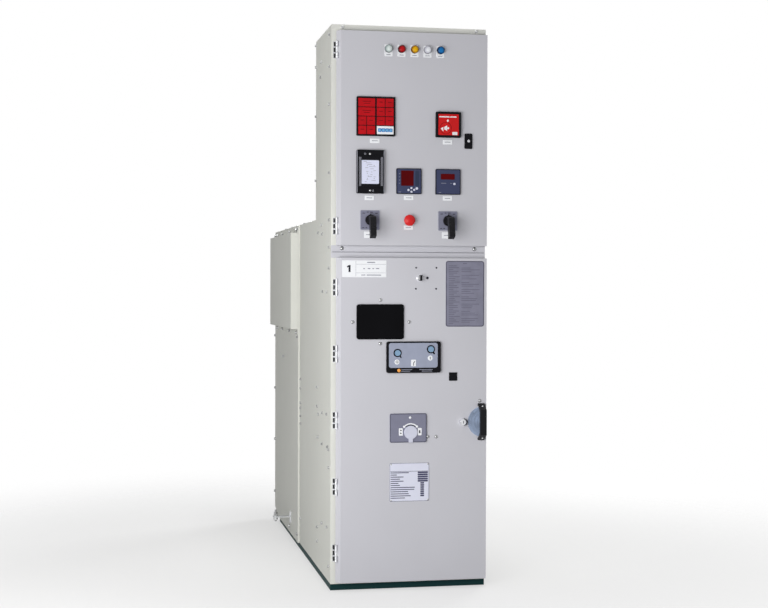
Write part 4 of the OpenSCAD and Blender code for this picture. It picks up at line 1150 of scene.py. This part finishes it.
# %% Finish the upper lock
LOCK_X, LOCK_Z = 225, 1707
lock_barrel, lock_slot = Bag(), Bag()
turned(lock_barrel, on_door, LOCK_X, LOCK_Z, [(5.0, 7.8), (5.0, 9.4), (4.4, 10.0), (4.0, 10.0)], 28)
plate(lock_slot, on_door, rounded(LOCK_X, LOCK_Z, 1.4, 5.6, 0.6, 3), 9.8, 10.2, 0.1)
piece("upper_lock_face", lock_barrel, chrome, "upper_door")
piece("upper_lock_slot", lock_slot, ink_and_shade_dark, "upper_door")

# %% [markdown]
# ## Plates on the breaker door
# A white plate in the upper left corner carries the number of the cubicle and three ruled rows. The
# number is a plain figure. It could be a text object, but one outline needs no font. Thin lines part the
# fields of the plate, and short bars fill them.

# %% Feeder plate
FEEDER_X, FEEDER_Z, FEEDER_W, FEEDER_H, FEEDER_T = -177, 1218.3, 170, 63.6, 1.2
LINE_W, LINE_LOW, LINE_OUT = 0.9, 1.0, 1.3
FIGURE_X, FIGURE_Z = -235, 1219
ONE = [(-2.5, -13.5), (5, -13.5), (5, 13.5), (-0.5, 13.5), (-9, 8.5), (-6.5, 3.5), (-2.5, 6)]
FEEDER_BARS = (
    (-151, 1242.5, 31), (-178, 1219, 7), (-159, 1219, 10), (-143, 1219, 6),
    (-126, 1219, 12), (-181, 1194.6, 16), (-140, 1194.6, 56),
)
feeder, feeder_rules, figure = Bag(), Bag(), Bag()
plate(feeder, on_door, rounded(FEEDER_X, FEEDER_Z, FEEDER_W, FEEDER_H, 1.5, 3), 0, FEEDER_T, 0.3)
upright_line = rounded(-209.5, FEEDER_Z, LINE_W, 60, 0.3, 2)
plate(feeder_rules, on_door, upright_line, LINE_LOW, LINE_OUT, INK_EDGE)
for cz in (1235.2, 1203.0):
    plate(feeder_rules, on_door, rounded(-151, cz, 114, LINE_W, 0.3, 2), LINE_LOW, LINE_OUT, INK_EDGE)
plate(figure, on_door, [(FIGURE_X + u, FIGURE_Z + v) for u, v in ONE], 1.0, 1.4, INK_EDGE)
for cx, cz, w in FEEDER_BARS:
    bar(feeder_rules, cx, cz, w, 3.4, FEEDER_T)
piece("feeder_plate", feeder, label_white, "lower_door")
piece("feeder_rules", feeder_rules, ink_grey, "lower_door")
piece("feeder_figure", figure, ink_and_shade_dark, "lower_door")

# %% [markdown]
# ### Instruction plate
# A grey plate with a darker rim sits on the right. It is covered with two columns of rules in a slightly
# darker grey. Their lengths follow a sine, which looks uneven, needs no random numbers and comes out the
# same at each run.

# %% Instruction plate
SHEET_X, SHEET_Z, SHEET_W, SHEET_H, SHEET_R, SHEET_T = 214.0, 1124.2, 150.5, 251.0, 9, 1.0
SHEET_RIM = [(0.5, 0.9), (0.5, 1.35), (3.2, 1.35), (3.2, 0.9)]
HEAD_RULE_Z, RULE_ROWS, FIRST_RULE_Z, RULE_PITCH, WAVE_STEP = 1240, 33, 1231, 6.9, 2.3
NEAR_COLUMN, NEAR_LEAST, NEAR_MORE = 150, 18, 26
FAR_COLUMN, FAR_LEAST, FAR_MORE, FAR_DROP = 200, 30, 42, 1.2
sheet_bag, sheet_rim, sheet_rules = Bag(), Bag(), Bag()
plate(sheet_bag, on_door, rounded(SHEET_X, SHEET_Z, SHEET_W, SHEET_H, SHEET_R), 0, SHEET_T, 0.3)
loop(sheet_rim, on_door, SHEET_X, SHEET_Z, SHEET_W, SHEET_H, SHEET_R, SHEET_RIM)
bar(sheet_rules, SHEET_X, HEAD_RULE_Z, 16, 2.8, SHEET_T)
for number in range(RULE_ROWS):
    cz = FIRST_RULE_Z - number * RULE_PITCH
    wave = 0.5 + 0.5 * math.sin(number * WAVE_STEP)
    near = NEAR_LEAST + NEAR_MORE * wave
    bar(sheet_rules, NEAR_COLUMN + near / 2, cz, near, 2.6, SHEET_T)
    if number % 4:
        far = FAR_LEAST + FAR_MORE * (1 - wave)
        bar(sheet_rules, FAR_COLUMN + far / 2, cz - FAR_DROP, far, 2.4, SHEET_T)
sheet_grey = moulded("instruction_grey", seen(130, 130, 148), 0.34, 0.01, 0.1, 0.08)
sheet_edge = moulded("instruction_edge", seen(80, 80, 98), 0.36)
sheet_ink = moulded("instruction_ink", seen(106, 106, 124), 0.5)
piece("instruction_plate", sheet_bag, sheet_grey, "lower_door")
piece("instruction_rim", sheet_rim, sheet_edge, "lower_door")
piece("instruction_rules", sheet_rules, sheet_ink, "lower_door")

# %% [markdown]
# ### Rating plate
# A white plate lower down has a thin dark rim, a screw in each corner and a table of rows. A row has a
# rule at the left and, in most rows, a dark field at the right, which is wide in the first rows and
# narrow below them. The rows lie at one pitch, so a loop over their widths draws the table.

# %% Rating plate
RATING_X, RATING_Z, RATING_W, RATING_H, RATING_T = -1.2, 407.9, 153.4, 146.0, 1.0
RATING_RIM = [(0.3, 0.9), (0.3, 1.2), (1.6, 1.2), (1.6, 0.9)]
ROW_WIDTHS = (70, 24, 50, 36, 50, 30, 36, 94, 92, 68, 70, 78, 56)
HEAD_LINE, FIRST_ROW, ROW_PITCH, ROW_MARGIN = 32, 37, 8, 4
WIDE_FIELDS, FIELDS = 5, 12
CORNER_INSET, CORNER_SCREW_R = 5, 3.4
rating, rating_rim, rating_ink, rating_screws = Bag(), Bag(), Bag(), Bag()
plate(rating, on_door, rounded(RATING_X, RATING_Z, RATING_W, RATING_H, 4, 4), 0, RATING_T, 0.3)
loop(rating_rim, on_door, RATING_X, RATING_Z, RATING_W, RATING_H, 4, RATING_RIM)
top = RATING_Z + RATING_H / 2
bar(rating_ink, RATING_X, top - HEAD_LINE, RATING_W - 6, 1.6, RATING_T)
for row, w in enumerate(ROW_WIDTHS):
    cz = top - FIRST_ROW - row * ROW_PITCH
    bar(rating_ink, RATING_X - RATING_W / 2 + ROW_MARGIN + w / 2, cz, w, 3.2, RATING_T)
    if row < WIDE_FIELDS:
        bar(rating_ink, RATING_X + 52, cz, 40, 6.6, RATING_T)
    elif row < FIELDS:
        bar(rating_ink, RATING_X + 50, cz, 15, 6.2, RATING_T)
for u in (-1, 1):
    for v in (-1, 1):
        cx = RATING_X + u * (RATING_W / 2 - CORNER_INSET)
        cz = RATING_Z + v * (RATING_H / 2 - CORNER_INSET)
        socket_screw(rating_screws, on_door, cx, cz, CORNER_SCREW_R, 0.8)
rating_white = moulded("rating_white", seen(222, 224, 240), 0.36, 0.0, 0.2, 0.02)
rating_line = moulded("rating_line", seen(70, 70, 96), 0.5)
piece("rating_plate", rating, rating_white, "lower_door")
piece("rating_rim", rating_rim, rating_line, "lower_door")
piece("rating_rules", rating_ink, rating_line, "lower_door")
piece("rating_screws", rating_screws, zinc_bolt, "lower_door")

# %% [markdown]
# ## Screws, plugs and the latch
# Four round screws hold the viewing window, two sit beside the racking plate and one above the handle.
# All seven are the same, so they are a loop over their places. Four small plugs close holes round a
# latch, which has a chrome collar and a black bar standing out in front of it, and a larger plug lies
# beside it.

# %% Screws and plugs of the breaker door
DOOR_SCREW_R = 5.6
DOOR_SCREWS = (
    (-114, 1100.5), (-221.5, 1017.5), (-3, 1017), (-115, 935.5), (70.4, 579.7), (102.8, 579.1), (274, 714),
)
SMALL_PLUGS = ((23, 1223), (102, 1223), (22, 1143), (101, 1143))
SMALL_PLUG, LARGE_PLUG = [(3.4, 0), (3.4, 0.8), (2.6, 1.3)], [(5.0, 0), (5.0, 1.2), (4.0, 1.8)]
LATCH_X, BLACK_BAR_X, LATCH_Z = 37, 39, 1184.2
LARGE_PLUG_PLACE = (66.6, 1184.3)
LATCH = [(12.0, 0), (12.0, 2.4), (11.0, 3.2), (9.4, 3.2), (9.4, 9), (8.6, 10), (8.0, 10)]
door_screws, door_screw_shadows, plugs, latch, black_bar = Bag(), Bag(), Bag(), Bag(), Bag()
for u, v in DOOR_SCREWS:
    socket_screw(door_screws, on_door, u, v, DOOR_SCREW_R)
    # Dark ring and socket plate as painted shadow and shade.
    painted_screw_shade(door_screw_shadows, on_door, u, v, DOOR_SCREW_R)
for u, v in SMALL_PLUGS:
    turned(plugs, on_door, u, v, SMALL_PLUG, 16)
turned(plugs, on_door, *LARGE_PLUG_PLACE, LARGE_PLUG, 20)
turned(latch, on_door, LATCH_X, LATCH_Z, LATCH, 32)
plate(black_bar, on_door, rounded(BLACK_BAR_X, LATCH_Z, 8.6, 22, 3.0, 4), 9.6, 22, 1.2)
piece("door_screw_shade", door_screw_shadows, rubber_and_shade, "lower_door")
piece("latch_black_bar", black_bar, black_grip, "lower_door")
piece("door_screws", door_screws, zinc_bolt, "lower_door")
piece("door_plugs", plugs, ink_and_shade_dark, "lower_door")
piece("latch_barrel", latch, chrome, "lower_door")

# %% [markdown]
# ## Breaker mechanism panel
# A grey-blue facia with round corners lies in the black panel, and two buttons move through it. A face
# with two holes is hard to skin, so the facia is laid as two halves with one opening each. The corners of
# an opening lie on the lines from its centre to the corners of the half, so both outlines have the same
# number and a tube joins them.

# %% Face the mechanism panel
PANEL_X, PANEL_Z = 12.5, 883.5
BUTTONS = ((-50.5, 900.0), (78.5, 913.5))
HOLE_R, PANEL_LOW, PANEL_OUT = 11.4, 9.8, 10.8
FACIA_X, FACIA_Z, FACIA_R = PANEL_X - 1.5, PANEL_Z + 7, 9.0
FACIA_HALF_W, FACIA_HALF_H = 94.5, 47
FACIA_LOW, FACIA_HIGH = FACIA_Z - FACIA_HALF_H, FACIA_Z + FACIA_HALF_H
CORNER_STEPS, SEAM_STEPS = 8, 12


def half_outline(side):
    corner_x = FACIA_X + side * (FACIA_HALF_W - FACIA_R)
    low_end, high_start = QUARTER * (side - 1), QUARTER * (1 - side)
    points = arc(corner_x, FACIA_LOW + FACIA_R, FACIA_R, -QUARTER, low_end, CORNER_STEPS)
    points += arc(corner_x, FACIA_HIGH - FACIA_R, FACIA_R, high_start, QUARTER, CORNER_STEPS)
    drop = (FACIA_HIGH - FACIA_LOW) / SEAM_STEPS
    return points + [(FACIA_X, FACIA_HIGH - drop * i) for i in range(SEAM_STEPS + 1)]


panel_face = Bag()
for side, (bx, bz) in zip((-1, 1), BUTTONS):
    outer = half_outline(side)
    angles = [math.atan2(v - bz, u - bx) for u, v in outer]
    hole = [(bx + HOLE_R * math.cos(a), bz + HOLE_R * math.sin(a)) for a in angles]
    rows = [(outer, PANEL_LOW), (outer, PANEL_OUT), (hole, PANEL_OUT), (hole, PANEL_LOW)]
    panel_face.tube([[on_door(u, v, out) for u, v in outline] for outline, out in rows])
piece("panel_facia", panel_face, panel_grey, "lower_door")
print("openings for", len(BUTTONS), "buttons")

# %% [markdown]
# Dark rings surround the two buttons, each with a small tab. Round white marks under them show what they
# do: a circle for off and a bar for on, which are general signs. A white flag window sits between them.
# The lower rim of the panel has an amber lamp and two rows of rules. The rings and the circle are closed
# strips, so loop() makes both.

# %% Rings, marks and the flag of the panel
RING_W, RING_R = 31.6, 15.7
RING = [(0, 10.6), (0, 12.4), (0.7, 13.0), (3.6, 13.0), (4.3, 12.2), (4.3, 10.6)]
RING_TAB = [(8, -15), (13, -20), (15.5, -17.5), (12, -9)]
OFF_MARK, ON_MARK = (-52.6, 866), (76.4, 880)
MARK, MARK_INK_LOW, MARK_INK_OUT = [(9.6, 10.7), (9.6, 11.2), (9.3, 11.3)], 11.2, 11.5
OFF_CIRCLE_W, OFF_CIRCLE_R = 10.4, 5.1
OFF_CIRCLE = [(0, 11.2), (0, 11.5), (1.8, 11.5), (1.8, 11.2)]
FLAG_X, FLAG_Z = 11.6, 861.6
FLAG_SIGN = [(-1.2, -10), (1.4, -10), (1.4, -1), (6, 6), (3.6, 7.6), (-1.2, 0.4)]
PANEL_RULES = ((-15, 836.4, 42), (-19, 830.6, 34), (60, 836.4, 52), (64, 830.6, 40))
PANEL_LAMP_PLACE = (-44.8, 833.6)
PANEL_LAMP = [(6.6, 11.8), (6.6, 12.6), (5.6, 13.6), (2.6, 14.2)]
rings, marks, mark_ink, flag, panel_rules, panel_lamp = Bag(), Bag(), Bag(), Bag(), Bag(), Bag()
for bx, bz in BUTTONS:
    loop(rings, on_door, bx, bz, RING_W, RING_W, RING_R, RING)
    plate(rings, on_door, [(bx + u, bz + v) for u, v in RING_TAB], 10.6, 12.2, 0.4)
for mark_x, mark_z in (OFF_MARK, ON_MARK):
    turned(marks, on_door, mark_x, mark_z, MARK, 28)
loop(mark_ink, on_door, *OFF_MARK, OFF_CIRCLE_W, OFF_CIRCLE_W, OFF_CIRCLE_R, OFF_CIRCLE)
plate(mark_ink, on_door, rounded(*ON_MARK, 2.8, 11, 1.2, 3), MARK_INK_LOW, MARK_INK_OUT, INK_EDGE)
plate(flag, on_door, rounded(FLAG_X, FLAG_Z, 19, 25, 2.0, 4), 10.7, 11.6, 0.3)
plate(mark_ink, on_door, [(FLAG_X + u, FLAG_Z + v) for u, v in FLAG_SIGN], 11.5, 11.8, INK_EDGE)
for cx, cz, w in PANEL_RULES:
    bar(panel_rules, cx, cz, w, 2.4, 12.0)
turned(panel_lamp, on_door, *PANEL_LAMP_PLACE, PANEL_LAMP, 24)
piece("panel_rules", panel_rules, ink_grey, "lower_door")
piece("button_rings", rings, black_case, "lower_door")
piece("panel_marks", marks, label_white, "lower_door")
piece("panel_flag", flag, label_white, "lower_door")
piece("panel_mark_ink", mark_ink, ink_and_shade_dark, "lower_door")
piece("panel_lamp", panel_lamp, amber, "lower_door")

# %% [markdown]
# ## Racking plate
# The plate over the racking shaft has a darker rim, a white arc that shows the turn of the crank with a
# dot at each end and one above it, and a white tab on each side for the two end positions. A dark arc
# close round the cover is painted shadow. The round cover gets a low ridge, which is how such covers are
# stiffened. Both arcs are crescents, laid as flat plates.

# %% Face the racking plate
RACK_X, RACK_Z, RACK_W, RACK_H = -7.0, 614.5, 141.6, 109.6
CAP_X, CAP_Z, ARC_STEPS = 2.0, 597.5, 13
RACK_INK, TAB_Z, LEFT_TAB_X, RIGHT_TAB_X = 5.9, 600, -36, 37.3
RACK_RIM = [(0, 5.6), (0, 6.6), (0.4, 6.8), (2.4, 6.8), (2.8, 6.0), (2.8, 5.6)]
UPPER_DOT, END_DOT = [(4.6, 5.9), (4.6, 6.6), (4.0, 6.9)], [(4.6, 5.9), (4.6, 6.5), (4.2, 6.7)]
UPPER_DOT_PLACE, END_DOT_PLACES = (0.2, 653.7), ((-23, 619.5), (27, 619.5))
CAP_RIDGE_W, CAP_RIDGE_R = 46, 22.9
CAP_RIDGE = [(0, 10.8), (0, 11.4), (0.4, 11.7), (1.6, 11.7), (2.0, 11.4), (2.0, 10.8)]
rack_rim, rack_white, rack_ink_and_shade, cap_ridge = Bag(), Bag(), Bag(), Bag()
loop(rack_rim, on_door, RACK_X, RACK_Z, RACK_W, RACK_H, 6, RACK_RIM)
turned(rack_white, on_door, *UPPER_DOT_PLACE, UPPER_DOT, 20)
turn_arc = crescent(CAP_X, CAP_Z, 35, 30.5, 38, 142, ARC_STEPS)
plate(rack_white, on_door, turn_arc, RACK_INK, 6.5, 0.1)
for cx in (LEFT_TAB_X, RIGHT_TAB_X):
    plate(rack_white, on_door, rounded(cx, TAB_Z, 15, 28, 2.0, 4), RACK_INK, 6.8, 0.3)
for cx, cz in END_DOT_PLACES:
    turned(rack_white, on_door, cx, cz, END_DOT, 20)
for dz in (5.5, -5.5):
    plate(rack_ink_and_shade, on_door, disc(LEFT_TAB_X, TAB_Z + dz, 3.4, 4), 6.7, 7.0, INK_EDGE)
plate(rack_ink_and_shade, on_door, rounded(RIGHT_TAB_X, TAB_Z, 5, 12, 1.5, 3), 6.7, 7.0, INK_EDGE)
# Painted shadow: a dark crescent close round the cover.
shadow_arc = crescent(CAP_X, CAP_Z, 29.5, 26.2, 50, 130, ARC_STEPS)
plate(rack_ink_and_shade, on_door, shadow_arc, RACK_INK, 6.3, 0.1)
loop(cap_ridge, on_door, CAP_X, CAP_Z, CAP_RIDGE_W, CAP_RIDGE_W, CAP_RIDGE_R, CAP_RIDGE)
plate_rim = moulded("plate_rim", seen(84, 86, 104), 0.4, 0.02)
piece("racking_rim", rack_rim, plate_rim, "lower_door")
piece("racking_signs", rack_white, label_white, "lower_door")
piece("racking_marks_and_shade", rack_ink_and_shade, ink_and_shade_dark, "lower_door")
piece("racking_cap_ridge", cap_ridge, pale_plastic, "lower_door")

# %% [markdown]
# ## Handle and lock of the breaker door
# The bow handle has a screw in each leg. Behind it lies a half-round plate of blue-grey plastic with a
# few soft ridges. Beside them stands the chrome cylinder of the lock, with its key slot and a black half
# oval at its right. The ridges are crescents round the middle of the plate, and the black shape is the
# end of an oval, so both come from arcs.

# %% Dress the handle and lock
HANDLE_X, HANDLE_Z, ROSE_X, CYLINDER_X = 278.0, 634.0, 285.0, 206
ROSE_RIDGES, RIDGE_W, LEG_OFF = (50, 38, 26), 3, 60.5
CYLINDER = [(11.0, 13.8), (11.0, 16.6), (10.2, 17.4), (9.6, 17.4)]
HALF_OVAL_W, HALF_OVAL_H = 16.5, 13.5
rose_blue = moulded("rose_blue", seen(146, 161, 186), 0.3, 0.05, 0.1, 0.2)
frame["nodes"]["handle_rose"].data.materials[0] = rose_blue
rose_ridges, leg_screws, cylinder_face, cylinder_dark = Bag(), Bag(), Bag(), Bag()
for radius in ROSE_RIDGES:
    ridge = crescent(ROSE_X, HANDLE_Z, radius, radius - RIDGE_W, 100, 260, 20)
    plate(rose_ridges, on_door, ridge, 5.8, 7.0, 0.4)
for side in (-1, 1):
    socket_screw(leg_screws, on_door, HANDLE_X, HANDLE_Z + side * LEG_OFF, 3.2, 26.5)
turned(cylinder_face, on_door, CYLINDER_X, HANDLE_Z, CYLINDER, 32)
plate(cylinder_dark, on_door, rounded(CYLINDER_X, HANDLE_Z, 2.4, 11, 1.1, 3), 17.2, 17.6, 0.1)
black_half_oval = [(CYLINDER_X + HALF_OVAL_W * u, HANDLE_Z + HALF_OVAL_H * v) for u, v in arc(0, 0, 1, -80, 80, 16)]
plate(cylinder_dark, on_door, black_half_oval, 4.0, 15.4, 1.0)
piece("rose_ridges", rose_ridges, rose_blue, "lower_door")
piece("handle_screws", leg_screws, zinc_bolt, "lower_door")
piece("lock_face", cylinder_face, chrome, "lower_door")
piece("lock_slot", cylinder_dark, ink_and_shade_dark, "lower_door")

# %% [markdown]
# ## Floor and backdrop
# The studio is plain: a pale floor that keeps the shadow and fades out into a white world. The floor is
# one flat disc a millimetre below the cabinet, so that the two never share a plane.

# %% Stage
STAGE_R, STAGE_Y, STAGE_SIDES, STAGE_Z = 6.0, 0.1, 64, -0.001
FADE_FROM, FADE_TO = 1.0, 3.0
FLOOR_TONE, FLOOR_BOUNCE, FLOOR_PAPER = (0.93, 0.93, 0.93), (0.5, 0.5, 0.5), 0.5
floor_mesh = bpy.data.meshes.new("floor")
circle = [(x, y, STAGE_Z) for x, y in disc(0.0, STAGE_Y, STAGE_R, STAGE_SIDES)]
floor_mesh.from_pydata(circle, [], [tuple(range(STAGE_SIDES))])
floor = bpy.data.objects.new("floor", floor_mesh)
bpy.context.scene.collection.objects.link(floor)
floor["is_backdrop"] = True
floor_finish, tree, shader, where = start_finish("floor_finish", FLOOR_TONE, 0.6)
shader.inputs["Specular IOR Level"].default_value = 0.0
print("floor radius:", STAGE_R)

# %% [markdown]
# The floor would look grey against the white world, since it gets less light than a strength of one. So
# the camera and the mirrors see it partly as a plain white sheet, and partly as a lit surface that
# carries the shadow. For the light that it throws back on the object it stays a middle grey. Away from
# the cabinet it thins out until only the world is left, so no horizon shows.

# %% Fade the floor out
distance = tree.nodes.new("ShaderNodeVectorMath")
distance.operation = "LENGTH"
tree.links.new(where, distance.inputs[0])
fade = tree.nodes.new("ShaderNodeMapRange")
fade.interpolation_type = "SMOOTHSTEP"
fade.inputs["From Min"].default_value = FADE_FROM
fade.inputs["From Max"].default_value = FADE_TO
tree.links.new(distance.outputs["Value"], fade.inputs["Value"])


def looked_at(nodes):
    path = nodes.nodes.new("ShaderNodeLightPath")
    kinds = [path.outputs[kind] for kind in ("Is Camera Ray", "Is Glossy Ray", "Is Transmission Ray")]
    found = kinds[0]
    for kind in kinds[1:]:
        either = nodes.nodes.new("ShaderNodeMath")
        either.operation = "MAXIMUM"
        nodes.links.new(found, either.inputs[0])
        nodes.links.new(kind, either.inputs[1])
        found = either.outputs["Value"]
    return found


def two_levels(nodes, value, low, high):
    node = nodes.nodes.new("ShaderNodeMapRange")
    node.inputs["To Min"].default_value = low
    node.inputs["To Max"].default_value = high
    nodes.links.new(value, node.inputs["Value"])
    return node.outputs["Result"]


eye = looked_at(tree)
grey = ramp(tree, eye, [(0.0, FLOOR_BOUNCE), (1.0, FLOOR_TONE)])
tree.links.new(grey, shader.inputs["Base Color"])
share = two_levels(tree, eye, 0.0, FLOOR_PAPER)
sheet = tree.nodes.new("ShaderNodeEmission")
paper = tree.nodes.new("ShaderNodeMixShader")
tree.links.new(share, paper.inputs["Fac"])
tree.links.new(shader.outputs["BSDF"], paper.inputs[1])
tree.links.new(sheet.outputs["Emission"], paper.inputs[2])
clear = tree.nodes.new("ShaderNodeBsdfTransparent")
blend = tree.nodes.new("ShaderNodeMixShader")
tree.links.new(fade.outputs["Result"], blend.inputs["Fac"])
tree.links.new(paper.outputs["Shader"], blend.inputs[1])
tree.links.new(clear.outputs["BSDF"], blend.inputs[2])
tree.links.new(blend.outputs["Shader"], tree.nodes["Material Output"].inputs["Surface"])
floor_mesh.materials.append(floor_finish)
print("floor fades from", FADE_FROM, "to", FADE_TO, "m")

# %% [markdown]
# ## Light
# The camera and the mirrors see a white world, and the object gets a lower level of it. A broad lamp
# stands at the front left, about as high as the middle of the cabinet and rather near, so its light falls
# off towards the back and the top. A narrow one further left brings out the bevelled edge of the doors.
# One far above the cabinet lights its roof and the floor, and one behind it on the right keeps the two
# far sides from going dark.

# %% World and lamps
AMBIENT = 0.24
world = bpy.data.worlds.new("studio")
world.use_nodes = True
bpy.context.scene.world = world
sky = world.node_tree
backdrop = sky.nodes["Background"]
backdrop.inputs["Color"].default_value = (1, 1, 1, 1)
level = two_levels(sky, looked_at(sky), AMBIENT, 1.0)
sky.links.new(level, backdrop.inputs["Strength"])


def soft_lamp(name, place, aim, size, watts, colour):
    data = bpy.data.lights.new(name, "AREA")
    data.shape = "RECTANGLE"
    data.size, data.size_y = size
    data.energy = watts
    data.color = colour
    lamp = bpy.data.objects.new(name, data)
    lamp.location = place
    lamp.rotation_euler = (Vector(aim) - Vector(place)).to_track_quat("-Z", "Y").to_euler()
    lamp.visible_camera = False
    bpy.context.scene.collection.objects.link(lamp)
    print(name, "gives", watts, "W")


soft_lamp("key_lamp", (-1.75, -3.4, 1.0), (-0.1, -0.7, 0.95), (2.3, 1.9), 80, (1.0, 0.995, 0.985))
soft_lamp("edge_lamp", (-2.4, -1.9, 1.0), (-0.28, -0.84, 1.0), (0.5, 2.0), 10, (1.0, 1.0, 1.0))
soft_lamp("top_lamp", (0.2, -0.2, 5.6), (0.1, 0.1, 0), (1.6, 1.6), 70, (1.0, 1.0, 1.0))
soft_lamp("back_lamp", (2.7, 3.0, 1.7), (0, 0.2, 1.0), (1.4, 1.6), 84, (1.0, 1.0, 1.0))
bpy.context.scene.view_settings.view_transform = "Standard"

# %% [markdown]
# ## Last numbers
# The size of the dressed cabinet, with its pieces and modifiers, is printed.

# %% Write the sizes and finish
low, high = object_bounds()
print("visual box in metres:", [round(v, 3) for v in (*low, *high)])
